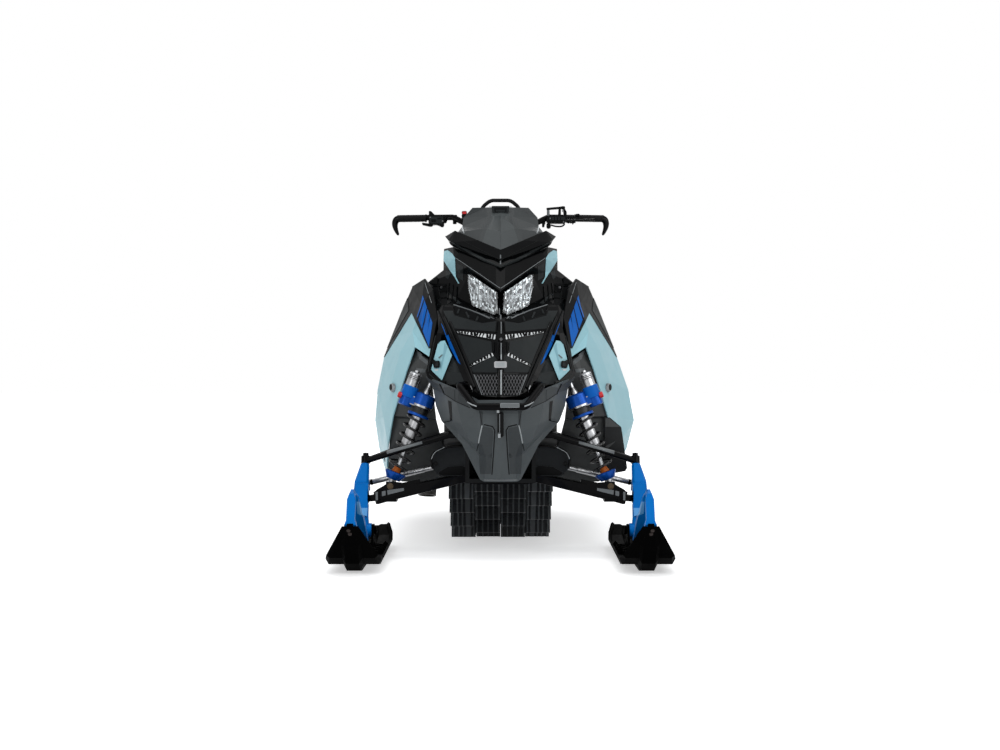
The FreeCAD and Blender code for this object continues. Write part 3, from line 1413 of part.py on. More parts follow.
def make_hood():
    """The centre cowl: a brow over the lamps, the recess behind them, a duct lip and the long front slope."""
    brow = [
        across([(0, 32, 1012), (16, 37, 1020), (79, 89, 1048), (136, 149, 1077), (169, 189, 1090), (203, 263, 1088)]),
        across([(0, -30, 925), (15, -23, 935), (71, 35, 978), (117, 90, 1014), (164, 145, 1048), (204, 235, 1054)]),
    ]
    recess = [
        across([(0, -15, 915), (10, 0, 917), (61, 50, 950), (112, 105, 986), (157, 155, 999), (204, 225, 1010)]),
        across([(0, -55, 838), (10, -3, 846), (54, 43, 861), (100, 95, 883), (153, 130, 906), (262, 235, 965)]),
    ]
    slope = [
        across([(0, -75, 817), (12, -65, 824), (81, -15, 846), (155, 50, 872), (202, 90, 877), (226, 150, 905)]),
        across([(0, -110, 762), (12, -100, 762), (80, -60, 769), (174, 0, 784), (199, 20, 788), (216, 45, 799)]),
        across([(0, -140, 704), (12, -130, 704), (70, -95, 704), (139, -45, 701), (181, -10, 708), (234, 30, 722)]),
        across([(0, -165, 646), (12, -155, 646), (59, -130, 646), (111, -90, 639), (187, -30, 649), (250, 20, 660)]),
        across([(0, -190, 562), (12, -183, 562), (56, -170, 565), (90, -140, 582), (162, -75, 602), (209, -15, 611)]),
    ]
    cowl = thick_grid(front_grid(*brow, *recess, *slope), D.panel_thick, (0, -1, 0))
    return feature("hood", cowl.cut(bumper_opening()))


def make_windshield():
    """A low faceted screen that leans back from the visor."""
    rows = [
        across([(0, 275, 1238), (52, 280, 1237), (101, 305, 1238)]),
        across([(0, 230, 1204), (45, 235, 1201), (134, 315, 1203)]),
        across([(0, 135, 1140), (59, 175, 1153), (137, 275, 1168)]),
        across([(0, 70, 1069), (79, 139, 1107), (152, 227, 1144)]),
    ]
    shield = thick_grid(front_grid(*rows), D.panel_thick, (0, -1, 1))
    return feature("windshield", seated(shield, shape_of("visor"), (0, -1, 0)))


def make_visor():
    """Two stepped bands over the brow that end in swept corners."""
    rows = [
        across([(0, 45, 1072), (79, 105, 1109), (162, 185, 1149), (198, 215, 1130)]),
        across([(0, 25, 1036), (82, 85, 1068), (172, 155, 1106), (186, 175, 1114)]),
        across([(0, 35, 1032), (82, 95, 1061), (168, 165, 1099), (183, 185, 1108)]),
        across([(0, 15, 1011), (82, 75, 1046), (168, 155, 1091), (179, 175, 1100)]),
    ]
    visor = thick_grid(front_grid(*rows), D.panel_thick, (0, -1, 0))
    return feature("visor", seated(visor, shape_of("hood")))


def make_headlights():
    """Two lamps behind the brow, each a slanting lens block."""
    outline = [(10, 922), (116, 982), (100, 885), (24, 846), (10, 856)]
    face = [vec(x, pivot_y - 225, z) for x, z in outline]
    plan = [vec(x, pivot_y + y, 0) for x, y in ((0, -31), (120, 83), (120, 97), (0, -17))]
    lens = prism(face, Vector(0, 400, 0)).common(prism(plan, Vector(0, 0, 1400)))
    lamps = both_sides(lens)
    lamps.translate(Vector(0, -60, 0))
    return feature("headlights", seated(lamps, shape_of("hood"), (0, 1, 0)))


def make_side_panel(side, name):
    """One big moulding from the shoulder by the lamps down to the foot, wrapping back past the rider's toes."""
    rows = [
        [(242, 135, 935), (273, 205, 977), (320, 305, 953), (300, 545, 950)],
        [(224, 95, 835), (282, 175, 880), (356, 365, 879), (330, 545, 880)],
        [(249, 45, 698), (315, 185, 791), (402, 405, 770), (370, 545, 765)],
        [(304, 115, 734), (359, 225, 721), (431, 425, 700), (400, 545, 695)],
        [(335, 125, 646), (392, 235, 613), (455, 425, 579), (430, 545, 579)],
        [(383, 145, 490), (422, 255, 480), (464, 425, 468), (440, 545, 468)],
        [(402, 165, 383), (423, 275, 375), (449, 425, 365), (430, 545, 365)],
        [(407, 185, 308), (415, 285, 288), (422, 425, 266), (410, 545, 285)],
    ]
    if side == LEFT:
        for row, bulge in ((4, 18), (5, 30), (6, 18)):
            x, y, z = rows[row][2]
            rows[row][2] = (x + bulge, y, z)
    points = [[(side * x, y, z) for x, y, z in row] for row in rows]
    panel = thick_grid(front_grid(*points), D.panel_thick, (side, -0.4, 0))
    return feature(f"side_panel_{name}", seated(panel, shape_of(f"fender_{name}"), (-side, 0, 0)))


def make_fender(side, name):
    """The dark wall behind the damper, which closes the side pod at the front and meets the tunnel below."""
    inner = D.tunnel_half_width + D.seat_gap
    rows = [
        [(297, 143, 722), (276, 126, 706), (255, 109, 690)],
        [(333, 137, 646), (290, 126, 623), (241, 115, 600)],
        [(379, 157, 490), (305, 146, 487), (228, 135, 483)],
        [(386, 175, 482), (307, 165, 479), (228, 155, 476)],
        [(396, 175, 369), (300, 175, 369), (inner, 175, 369)],
        [(399, 189, 304), (361, 185, 287), (inner, 185, 276)],
    ]
    points = [[(side * x, y, z) for x, y, z in row] for row in rows]
    return feature(f"fender_{name}", thick_grid(front_grid(*points), D.panel_thick, (0, -1, 0)))


def make_console():
    """The tank cover between the windshield and the seat."""
    base = float(D.tunnel_top_front) + float(D.seat_gap)
    outlines = []
    bar, seat = float(D.bar_z), float(D.seat_front_y)
    for y, half, low_half, top in (
        (float(D.console_front_y), 150, 180, bar - 108),
        (float(D.console_front_y) + 70, 150, 180, bar - 128),
        (seat - 115, 125, 160, bar - 238),
        (seat - 2, 105, 120, bar - 318),
    ):
        outlines.append(
            [
                Vector(-low_half, y, base), Vector(-half, y, base + (top - base) * 0.7),
                Vector(-half * 0.7, y, top), Vector(half * 0.7, y, top),
                Vector(half, y, base + (top - base) * 0.7), Vector(low_half, y, base),
            ]
        )
    solid = loft(outlines, ruled=True)
    slot = post_frame()
    clear = Part.makeCylinder(float(D.post_radius + D.running_gap), 500, Vector(0, 0, -420))
    clear.Placement = slot
    return feature("console", solid.cut(clear))


def make_seat():
    y0 = float(D.seat_front_y)
    length = float(D.seat_length)
    half = float(D.seat_half_width)
    outlines = []
    for share, wide, high in ((0, 0.72, 0.96), (0.3, 0.92, 0.98), (0.65, 1.0, 1.0), (1.0, 0.88, 1.0)):
        y = y0 + length * share
        run = (y - float(D.board_front_y)) / float(D.deck_front_y - D.board_front_y)
        drop = float(D.tunnel_top_front - D.tunnel_top_rear) * run
        base = float(D.tunnel_top_front) - drop + 1
        top = float(D.tunnel_top_front) + float(D.seat_height) * high - drop * 0.4 - share * 24
        w = half * wide
        outlines.append(
            [
                Vector(-w * 0.9, y, base), Vector(-w, y, base + (top - base) * 0.45),
                Vector(-w * 0.82, y, top - 16), Vector(-w * 0.6, y, top),
                Vector(w * 0.6, y, top), Vector(w * 0.82, y, top - 16),
                Vector(w, y, base + (top - base) * 0.45), Vector(w * 0.9, y, base),
            ]
        )
    return feature("seat", loft(outlines, ruled=True))


# Rear end

def make_rear():
    y = float(D.tunnel_rear_y)
    x = float(D.tunnel_half_width) + float(D.bumper_radius) + float(D.seat_gap)
    z = float(D.tunnel_top_rear)
    line = [
        Vector(-x, y - 190, z - 60), Vector(-x, y + 10, z - 40), Vector(-x + 36, y + 92, z + 26),
        Vector(x - 36, y + 92, z + 26), Vector(x, y + 10, z - 40), Vector(x, y - 190, z - 60),
    ]
    feature("rear_bumper", bent_tube(line, D.bumper_radius, 34))
    half = float(D.flap_half_width)
    rows = [
        [(-half, y - 50, z - 12), (half, y - 50, z - 12)],
        [(-half, y + 90, z - 60), (half, y + 90, z - 60)],
        [(-half, y + 230, z - 160), (half, y + 230, z - 160)],
        [(-half, D.flap_end_y, D.flap_end_z), (half, D.flap_end_y, D.flap_end_z)],
    ]
    flap = thick_grid(grid(*rows), D.flap_thick, (0, 0.4, 1))
    feature("snow_flap", seated(flap, shape_of("tunnel"), (0, 0, 1)))
    lamp = box(
        "TailLamp", -D.port_pitch_x * 0.4, D.port_pitch_x * 0.4,
        D.tunnel_rear_y - 42, D.tunnel_rear_y - 6,
        D.tunnel_top_rear + D.seat_gap, D.tunnel_top_rear + 34,
    )
    node(lamp, "tail_lamp")


def make_exhaust():
    top = Vector(-255, -735, 330)
    low = Vector(-262, -762, 205)
    bracket_x = -float(D.tunnel_half_width + D.seat_gap)
    bracket = block(top.x, bracket_x, top.y - 16, top.y + 12, top.z - 42, top.z - 4)
    pipe = fused([rod(top, low, 32), bracket]).cut(rod(top, low + (low - top) * 0.02, 27))
    return feature("exhaust_outlet", pipe)


make_tunnel()
for side_sign, side_name in SIDES:
    make_running_board(side_sign, side_name)
make_track()
make_skid()
make_bulkhead()
make_hood()
make_over_frame()
make_engine()
make_lower_arms()
make_upper_arms()
make_shocks()
make_springs()
for side_sign, side_name in SIDES:
    make_spindle(side_sign, side_name)
    make_tie_rod(side_sign, side_name)
    make_ski(side_sign, side_name)
    make_ski_loop(side_sign, side_name)
    make_fender(side_sign, side_name)
    make_side_panel(side_sign, side_name)
make_steering()
make_nose()
make_belly()
make_bumper()
make_visor()
make_windshield()
make_headlights()
make_console()
make_seat()
make_rear()
make_exhaust()

doc.recompute()
failed = [o.Name for o in doc.Objects if "Invalid" in o.State or "Error" in o.State]
for part in NODES:
    if part.Shape.isNull() or not part.Shape.isValid() or not part.Shape.Solids:
        failed.append(part.Label)
if failed:
    raise RuntimeError("these objects did not build: " + ", ".join(failed))
os.makedirs("parts", exist_ok=True)
for part in NODES:
    part.Shape.exportStep(f"parts/{part.Label}.step")
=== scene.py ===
"""Looks of the mountain snowmobile: finishes, seat, lamps, dampers, track and trim, in metres.

Front towards -Y, rider's left at +X, standing on Z = 0. Outlines given in millimetres are named so.
"""

import math
import random

import bmesh
import bpy
from mathutils import Matrix, Vector
from mathutils.bvhtree import BVHTree


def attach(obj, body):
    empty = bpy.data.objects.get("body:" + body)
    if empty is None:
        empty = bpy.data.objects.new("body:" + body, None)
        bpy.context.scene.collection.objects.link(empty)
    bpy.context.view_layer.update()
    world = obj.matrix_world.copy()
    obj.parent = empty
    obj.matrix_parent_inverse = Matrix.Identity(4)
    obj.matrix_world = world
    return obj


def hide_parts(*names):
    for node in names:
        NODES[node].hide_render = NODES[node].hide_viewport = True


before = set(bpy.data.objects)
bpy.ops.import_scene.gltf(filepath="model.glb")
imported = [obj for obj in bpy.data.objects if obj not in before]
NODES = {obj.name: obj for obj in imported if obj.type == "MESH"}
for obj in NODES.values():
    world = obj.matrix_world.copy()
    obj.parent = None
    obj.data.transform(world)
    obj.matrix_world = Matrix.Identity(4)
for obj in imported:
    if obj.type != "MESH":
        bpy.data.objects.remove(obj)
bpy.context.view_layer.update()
MM = 0.001
LEFT, RIGHT = 1, -1
SIDES = ((LEFT, "left"), (RIGHT, "right"))
scene = bpy.context.scene


# Camera, as far away and as high as in the photograph

CAMERA_DISTANCE = 7.405
CAMERA_HEIGHT = 0.658
FOCAL_LENGTH_MM, SENSOR_WIDTH_MM = 67.0, 36.0
LENS_SHIFT = (-0.0005, -0.0065)


def make_camera():
    data = bpy.data.cameras.new("camera")
    data.lens = FOCAL_LENGTH_MM
    data.sensor_width = SENSOR_WIDTH_MM
    data.shift_x, data.shift_y = LENS_SHIFT
    data.clip_end = 200
    camera = bpy.data.objects.new("camera", data)
    camera.location = (0, -CAMERA_DISTANCE, CAMERA_HEIGHT)
    camera.rotation_euler = (math.radians(90), 0, 0)
    scene.collection.objects.link(camera)
    scene.camera = camera


make_camera()
scene.view_settings.view_transform = "Standard"


# Finishes

def linear(colour):
    """An sRGB colour of 0 to 255, as the shader's linear colour."""
    def channel(value):
        share = value / 255
        return share / 12.92 if share <= 0.04045 else ((share + 0.055) / 1.055) ** 2.4
    return (*[channel(value) for value in colour], 1.0)


def blank_material(name):
    made = bpy.data.materials.new(name)
    made.use_nodes = True
    return made, made.node_tree, made.node_tree.nodes["Principled BSDF"]


def noise(tree, scale, detail=2.0, stretch=(1, 1, 1)):
    """Noise in the object's own coordinates, with the number of grains a metre as its scale."""
    where = tree.nodes.new("ShaderNodeTexCoord")
    shape = tree.nodes.new("ShaderNodeMapping")
    shape.inputs["Scale"].default_value = stretch
    grain = tree.nodes.new("ShaderNodeTexNoise")
    grain.inputs["Scale"].default_value = scale
    grain.inputs["Detail"].default_value = detail
    tree.links.new(where.outputs["Object"], shape.inputs["Vector"])
    tree.links.new(shape.outputs["Vector"], grain.inputs["Vector"])
    return grain


NOISE_LOW, NOISE_HIGH = 0.35, 0.65


def spread(tree, source, low, high, start=NOISE_LOW, end=NOISE_HIGH):
    """The source from start to end, turned into values from low to high."""
    ramp = tree.nodes.new("ShaderNodeMapRange")
    ramp.inputs["From Min"].default_value = start
    ramp.inputs["From Max"].default_value = end
    ramp.inputs["To Min"].default_value = low
    ramp.inputs["To Max"].default_value = high
    tree.links.new(source, ramp.inputs["Value"])
    return ramp.outputs["Result"]


def tones(tree, source, first, second):
    """A colour that runs from first to second as the noise rises."""
    ramp = tree.nodes.new("ShaderNodeValToRGB")
    for stop, place, colour in zip(ramp.color_ramp.elements, (NOISE_LOW, NOISE_HIGH), (first, second)):
        stop.position, stop.color = place, colour
    tree.links.new(source, ramp.inputs["Fac"])
    return ramp.outputs["Color"]


def scaled(colour, share):
    """A linear colour, darker or lighter."""
    return (*[min(value * share, 1.0) for value in colour[:3]], 1.0)


def bumped(tree, bsdf, height, distance):
    """Bumps of a depth in metres."""
    bump = tree.nodes.new("ShaderNodeBump")
    bump.inputs["Distance"].default_value = distance
    bump.inputs["Strength"].default_value = 1.0
    tree.links.new(height, bump.inputs["Height"])
    tree.links.new(bump.outputs["Normal"], bsdf.inputs["Normal"])


def finish(name, colour, roughness, metallic=0.0, coat=0.0, vary=0.06, rough_vary=0.05, grain=900,
           grain_depth=0.00004, stretch=(1, 1, 1), specular=0.5):
    """A moulded, painted or metal finish: two close tones, uneven gloss and a fine grain."""
    made, tree, bsdf = blank_material(name)
    base = linear(colour)
    cloud = noise(tree, 7.0, 3.0).outputs["Fac"]
    tree.links.new(
        tones(tree, cloud, scaled(base, 1 - vary), scaled(base, 1 + vary)), bsdf.inputs["Base Color"]
    )
    smear = noise(tree, 24.0, 4.0).outputs["Fac"]
    tree.links.new(
        spread(tree, smear, max(roughness - rough_vary, 0.02), roughness + rough_vary),
        bsdf.inputs["Roughness"],
    )
    bsdf.inputs["Metallic"].default_value = metallic
    bsdf.inputs["Coat Weight"].default_value = coat
    bsdf.inputs["Coat Roughness"].default_value = 0.06
    bsdf.inputs["Specular IOR Level"].default_value = specular
    bumped(tree, bsdf, noise(tree, grain, 2.0, stretch).outputs["Fac"], grain_depth)
    return made


# Shapes

CREASE_DEGREES = 35
BEVEL_SEGMENTS = 2
TUBE_SIDES = 14
BEAD_SIDES = 8
RUN_STEPS = 6
WELD_DISTANCE = 1e-6


def ring_faces(rows, sides):
    """The faces of a form whose points are given ring by ring, closed at both ends."""
    faces = []
    for row in range(rows - 1):
        for k in range(sides):
            a, b = row * sides + k, row * sides + (k + 1) % sides
            faces.append((a, b, b + sides, a + sides))
    last = (rows - 1) * sides
    return faces + [tuple(range(sides)), tuple(range(last, last + sides))]


def around(first, second, sides):
    """Evenly spaced directions in the plane of two sides."""
    angles = [math.tau * k / sides for k in range(sides)]
    return [first * math.cos(angle) + second * math.sin(angle) for angle in angles]


def geometry_of(mesh):
    return list(mesh.verts) + list(mesh.edges) + list(mesh.faces)


def turned_to(normal):
    """The turn that stands a form up along a normal."""
    return Vector((0, 0, 1)).rotation_difference(normal).to_matrix()


class Piece:
    """Gathers geometry of several materials, to be finished as one object."""

    def __init__(self):
        self.mesh = bmesh.new()
        self.materials = []

    def add(self, points, faces, material, bevel=0.0):
        corners = [self.mesh.verts.new(point) for point in points]
        made = [self.mesh.faces.new([corners[i] for i in face]) for face in faces]
        bmesh.ops.recalc_face_normals(self.mesh, faces=made)
        if material not in self.materials:
            self.materials.append(material)
        for face in made:
            face.material_index = self.materials.index(material)
        if bevel:
            edges = {edge for face in made for edge in face.edges}
            bmesh.ops.bevel(
                self.mesh, geom=list(edges), offset=bevel, segments=BEVEL_SEGMENTS,
                affect="EDGES", clamp_overlap=True,
            )

    def prism(self, outline, along, material, bevel=0.0, taper=1.0):
        """A flat outline pushed along a vector, its far end scaled by the taper."""
        along = Vector(along)
        near = [Vector(point) for point in outline]
        middle = sum(near, Vector()) / len(near)
        far = [middle + (point - middle) * taper + along for point in near]
        count = len(near)
        faces = [list(range(count)), list(range(2 * count - 1, count - 1, -1))]
        faces += [[i, (i + 1) % count, count + (i + 1) % count, count + i] for i in range(count)]
        self.add(near + far, faces, material, bevel)

    def box(self, middle, size, material, bevel=0.0, turn=None):
        half = Vector(size) / 2
        turn = turn or Matrix.Identity(3)
        signs = [(x, y, z) for z in (-1, 1) for y in (-1, 1) for x in (-1, 1)]
        points = [Vector(middle) + turn @ Vector([s * h for s, h in zip(sign, half)]) for sign in signs]
        faces = [(0, 1, 3, 2), (4, 6, 7, 5), (0, 4, 5, 1), (2, 3, 7, 6), (0, 2, 6, 4), (1, 5, 7, 3)]
        self.add(points, faces, material, bevel)

    def turned(self, start, along, profile, material, sides=32):
        """A profile of (distance along, radius) turned about an axis, closed at both ends."""
        along = Vector(along).normalized()
        first = along.orthogonal().normalized()
        spokes = around(first, along.cross(first), sides)
        points = [
            Vector(start) + along * reach + spoke * radius for reach,
            radius in profile for spoke in spokes
        ]
        self.add(points, ring_faces(len(profile), sides), material)

    def tube(self, path, radius, material, sides=TUBE_SIDES, smooth=0, squash=1.0):
        """A tube along points, which a spline may smooth, with its section squashed across one side.

        The radius is one number, or a list with one for each point.
        """
        line = [Vector(point) for point in path]
        if smooth:
            line = rounded_line(line, smooth)
        radii = radius if isinstance(radius, list) else [radius] * len(line)
        side = (line[1] - line[0]).normalized().orthogonal().normalized()
        points = []
        for i, at in enumerate(line):
            ahead = (line[min(i + 1, len(line) - 1)] - line[max(i - 1, 0)]).normalized()
            side = (side - ahead * side.dot(ahead)).normalized()
            across = ahead.cross(side) * squash
            points += [at + spoke * radii[i] for spoke in around(side, across, sides)]
        self.add(points, ring_faces(len(line), sides), material)

    def bolt(self, at, along, radius, material, height=0.6):
        """A flanged hexagon bolt head that stands up along a direction."""
        flange = radius * 0.15
        self.turned(at, along, [(0, radius * 1.35), (flange, radius * 1.35)], material, 20)
        top = Vector(at) + Vector(along).normalized() * flange
        head = [(0, radius), (radius * height, radius), (radius * (height + 0.12), radius * 0.85)]
        self.turned(top, along, head, material, 6)

    def stepped(self, at, along, steps, material, sides=32):
        """A turned profile whose distances and radii are given in millimetres."""
        self.turned(at, along, [(reach * MM, radius * MM) for reach, radius in steps], material, sides)

    def mirror(self):
        """Adds the same geometry on the other side of the vehicle."""
        copied = bmesh.ops.duplicate(self.mesh, geom=geometry_of(self.mesh))["geom"]
        for item in copied:
            if isinstance(item, bmesh.types.BMVert):
                item.co.x = -item.co.x
        faces = [item for item in copied if isinstance(item, bmesh.types.BMFace)]
        bmesh.ops.reverse_faces(self.mesh, faces=faces)

    def finish(self, name, body, slot, flip=False, replaced=()):
        """Makes the object, on the other side of the vehicle if it is to be flipped."""
        if flip:
            for vert in self.mesh.verts:
                vert.co.x = -vert.co.x
            bmesh.ops.reverse_faces(self.mesh, faces=self.mesh.faces)
        data = bpy.data.meshes.new(name)
        self.mesh.to_mesh(data)
        self.mesh.free()
        for material in self.materials:
            data.materials.append(material)
        made = bpy.data.objects.new(name, data)
        scene.collection.objects.link(made)
        data.shade_smooth()
        data.set_sharp_from_angle(angle=math.radians(CREASE_DEGREES))
        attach(made, body)
        if replaced:
            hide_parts(*replaced)


def rounded_line(points, steps):
    """A smooth line through points, with a number of steps in each span."""
    line = []
    for i in range(len(points) - 1):
        before = points[max(i - 1, 0)]
        start, end = points[i], points[i + 1]
        after = points[min(i + 2, len(points) - 1)]
        for k in range(steps):
            t = k / steps
            line.append(
                0.5 * (
                    2 * start + (end - before) * t
                    + (2 * before - 5 * start + 4 * end - after) * t ** 2
                    + (3 * start - before - 3 * end + after) * t ** 3
                )
            )
    return line + [points[-1]]


def between(first, second, share):
    """A place on the line between two places."""
    return tuple(a + (b - a) * share for a, b in zip(first, second))


def in_steps(points, steps=RUN_STEPS):
    """Places along the straight runs between points, with a number of steps in each run."""
    path = [between(a, b, k / steps) for a, b in zip(points, points[1:]) for k in range(steps)]
    return path + [points[-1]]


def band(a, b, width_a, width_b=None):
    """The outline of a straight strip between two places, with its width at each end."""
    width_b = width_a if width_b is None else width_b
    a, b = Vector((*a, 0)), Vector((*b, 0))
    across = (b - a).normalized().cross(Vector((0, 0, 1)))
    corners = (
        a + across * width_a / 2, b + across * width_b / 2,
        b - across * width_b / 2, a - across * width_a / 2,
    )
    return [tuple(p[:2]) for p in corners]


# Surfaces of the solids, seen square from one side, with places in millimetres

AXES = {
    "front": (0, 2, Vector((0, -1, 0))), "top": (0, 1, Vector((0, 0, 1))),
    "left": (1, 2, Vector((1, 0, 0))), "right": (1, 2, Vector((-1, 0, 0))),
}
OUTSIDE = 5
SURFACES = {}


def hit(node, start, way):
    """Where a ray meets a node, and the surface's normal there, turned towards the ray's start."""
    if node not in SURFACES:
        data = NODES[node].data
        corners = [vert.co for vert in data.vertices]
        SURFACES[node] = BVHTree.FromPolygons(corners, [face.vertices for face in data.polygons])
    place, normal, _, _ = SURFACES[node].ray_cast(start, way)
    if place is not None and normal.dot(way) > 0:
        normal = -normal
    return place, normal


def touch(node, across, up, seen_from="front"):
    """Where a line of sight through a place in millimetres meets a node, and the normal there."""
    first, second, toward = AXES[seen_from]
    start = toward * OUTSIDE
    start[first], start[second] = across * MM, up * MM
    place, normal = hit(node, start, -toward)
    if place is None:
        raise ValueError(f"{node} isn't at {across}, {up}")
    return place, normal


def surface_part(node, toward, facing, planes):
    """The part of a node's surface that faces the viewer, within planes of (place, outward)."""
    cut = bmesh.new()
    cut.from_mesh(NODES[node].data)
    away = [
        face for face in cut.faces if face.normal.dot(toward(face.calc_center_median())) < facing
    ]
    bmesh.ops.delete(cut, geom=away, context="FACES")
    for place, outward in planes:
        bmesh.ops.bisect_plane(
            cut, geom=geometry_of(cut), plane_co=place, plane_no=outward, clear_outer=True
        )
    bmesh.ops.remove_doubles(cut, verts=cut.verts, dist=WELD_DISTANCE)
    return cut


def thickened(name, cuts, material, body, height, rim):
    """Makes one piece of loose surfaces, grown outwards."""
    whole = bmesh.new()
    data = bpy.data.meshes.new(name)
    for cut in cuts:
        cut.to_mesh(data)
        cut.free()
        whole.from_mesh(data)
    whole.to_mesh(data)
    whole.free()
    data.materials.clear()
    data.materials.append(material)
    for face in data.polygons:
        face.material_index = 0
    made = bpy.data.objects.new(name, data)
    scene.collection.objects.link(made)
    thick = made.modifiers.new("thick", "SOLIDIFY")
    thick.thickness = height
    thick.offset = 1
    thick.use_even_offset = True
    if rim:
        edge = made.modifiers.new("rim", "BEVEL")
        edge.width = rim
        edge.segments = 2
        edge.limit_method = "ANGLE"
        edge.angle_limit = math.radians(40)
    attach(made, body)


def patch(name, node, outlines, material, seen_from="front", height=0.0012, both=True, rim=0.0,
          facing=0.08, rear=None):
    """A thin moulding, stripe or facet laid on a node's surface, on both sides of the vehicle.

    Outlines are convex. Nothing of the piece lies behind the rear limit, where one is given.
    """
    first, second, toward = AXES[seen_from]
    cuts = []
    for outline in outlines:
        for way in (outline, [(-x, z) for x, z in outline]) if both else (outline,):
            corners = []
            for pair in way:
                corner = Vector((0, 0, 0))
                corner[first], corner[second] = pair[0] * MM, pair[1] * MM
                corners.append(corner)
            middle = sum(corners, Vector()) / len(corners)
            planes = []
            for a, b in zip(corners, corners[1:] + corners[:1]):
                outward = (b - a).cross(toward)
                planes.append((a, -outward if outward.dot(middle - a) > 0 else outward))
            if rear is not None:
                planes.append(((0, rear, 0), (0, 1, 0)))
            cuts.append(surface_part(node, lambda place: toward, facing, planes))
    thickened(name, cuts, material, "chassis", height, rim)


def side_patches(name, outlines, material, height, rear=None):
    """The same patch on both side panels; the outlines are those of the left one."""
    for side, side_name in SIDES:
        placed = [[(side * x, z) for x, z in outline] for outline in outlines]
        patch(f"{name}_{side_name}", f"side_panel_{side_name}", placed, material, height=height,
              both=False, facing=-0.25, rear=rear)


# Surfaces and places named by where they show in the photograph's frame of 1000 by 750

EYE = Vector((0, -CAMERA_DISTANCE, CAMERA_HEIGHT))
MIDDLE_COLUMN, MIDDLE_ROW = 500.5, 368.5
FOCAL_PIXELS = 1861


def sight(column, row):
    """The direction in which the camera sees a place; it advances one metre along the vehicle."""
    return Vector(((column - MIDDLE_COLUMN) / FOCAL_PIXELS, 1, (MIDDLE_ROW - row) / FOCAL_PIXELS))


def at_depth(column, row, y):
    """The place at a distance along the vehicle that shows at a place in the frame."""
    return EYE + sight(column, row) * (y + CAMERA_DISTANCE)


def other_side(outline):
    """The mirror image of places in the frame."""
    return [(2 * MIDDLE_COLUMN - column, row) for column, row in outline]


def spot(node, column, row, lift=0.0):
    """Where the camera sees a node at a place in the frame, and the surface's normal there."""
    place, normal = hit(node, EYE, sight(column, row).normalized())
    return (None if place is None else place + normal * lift), normal


def both_ways(node, places, both):
    """A node with places, and its twin on the other side with their mirror image."""
    twin = (node.replace("_right", "_left"), other_side(places))
    return [(node, places), twin] if both else [(node, places)]


def laid(name, node, outlines, material, body="chassis", height=0.0012, both=True, rim=0.0,
         facing=0.08):
    """Thin mouldings, stripes or facets laid on a node where convex outlines of the frame show it.

    A node name that ends in _right is swapped for its _left twin on the other side.
    """
    cuts = []
    for outline in outlines:
        for way_node, way in both_ways(node, outline, both):
            rays = [sight(*corner) for corner in way]
            middle = sum(rays, Vector())
            planes = []
            for a, b in zip(rays, rays[1:] + rays[:1]):
                outward = a.cross(b).normalized()
                planes.append((EYE, -outward if outward.dot(middle) > 0 else outward))
            part = surface_part(way_node, lambda place: (EYE - place).normalized(), facing, planes)
            cuts.append(part)
    thickened(name, cuts, material, body, height, rim)


def seam(piece, node, points, radius, material, lift=0.0, steps=RUN_STEPS, sides=BEAD_SIDES, both=True):
    """A thin round bead laid on a node's surface along straight runs between places in the frame.

    What would lie beyond the node's edge is left out.
    """
    for way_node, way in both_ways(node, points, both):
        found = [spot(way_node, *at, lift)[0] for at in in_steps(way, steps)]
        found = [place for place in found if place is not None]
        if len(found) > 1:
            piece.tube(found, radius, material, sides=sides)


def seams(piece, node, rows, lift, sides=BEAD_SIDES, both=True):
    """Several beads, given as (points, radius, material)."""
    for points, radius, material in rows:
        seam(piece, node, points, radius, material, lift=lift, sides=sides, both=both)


def plate(piece, outline, y, depth, material, bevel=0.0008):
    """A flat outline of the frame at a distance, pushed back by a depth."""
    piece.prism([at_depth(*corner, y) for corner in outline], (0, depth, 0), material, bevel)


def plates(piece, y, rows):
    """Several flat plates, given as (outline, distance behind y, depth, material, bevel)."""
    for outline, behind, depth, material, bevel in rows:
        plate(piece, outline, y + behind, depth, material, bevel)


def mirrored_plates(name, slot, y, rows):
    """A piece of the chassis made of flat plates, on both sides of the vehicle."""
    piece = Piece()
    plates(piece, y, rows)
    piece.mirror()
    piece.finish(name, "chassis", slot)


TEAL = finish("teal_panel", (146, 191, 201), 0.34, coat=0.05, vary=0.015, specular=0.12)
# A darker copy of the teal: painted shade on a facet of each window
TEAL_PAINTED_SHADE = finish("teal_painted_shade", (124, 168, 180), 0.36, vary=0.02, specular=0.12)
BLACK_GLOSS = finish("black_gloss", (7, 8, 9), 0.2, coat=0.07, vary=0.1, rough_vary=0.04, specular=0.04)
BLACK_SATIN = finish("black_satin", (11, 12, 13),
                     0.42, vary=0.12, grain=2200, grain_depth=0.00005, specular=0.06)
BLACK_ROUGH = finish("black_rough", (10, 11, 12),
                     0.66, vary=0.15, grain=2600, grain_depth=0.00012, specular=0.04)
DARK_GREY = finish("dark_grey_facet", (35, 38, 39), 0.36, vary=0.08, grain=2200, specular=0.05)
NOSE_GREY = finish("nose_grey", (70, 75, 77), 0.48, vary=0.05, grain=2400, grain_depth=0.00008,
                   specular=0.2)
# A darker copy of the fender grey: painted shade on the lower guard
FENDER_PAINTED_SHADE = finish("fender_painted_shade", (36, 37, 38), 0.44, vary=0.06, grain=2400, specular=0.1)
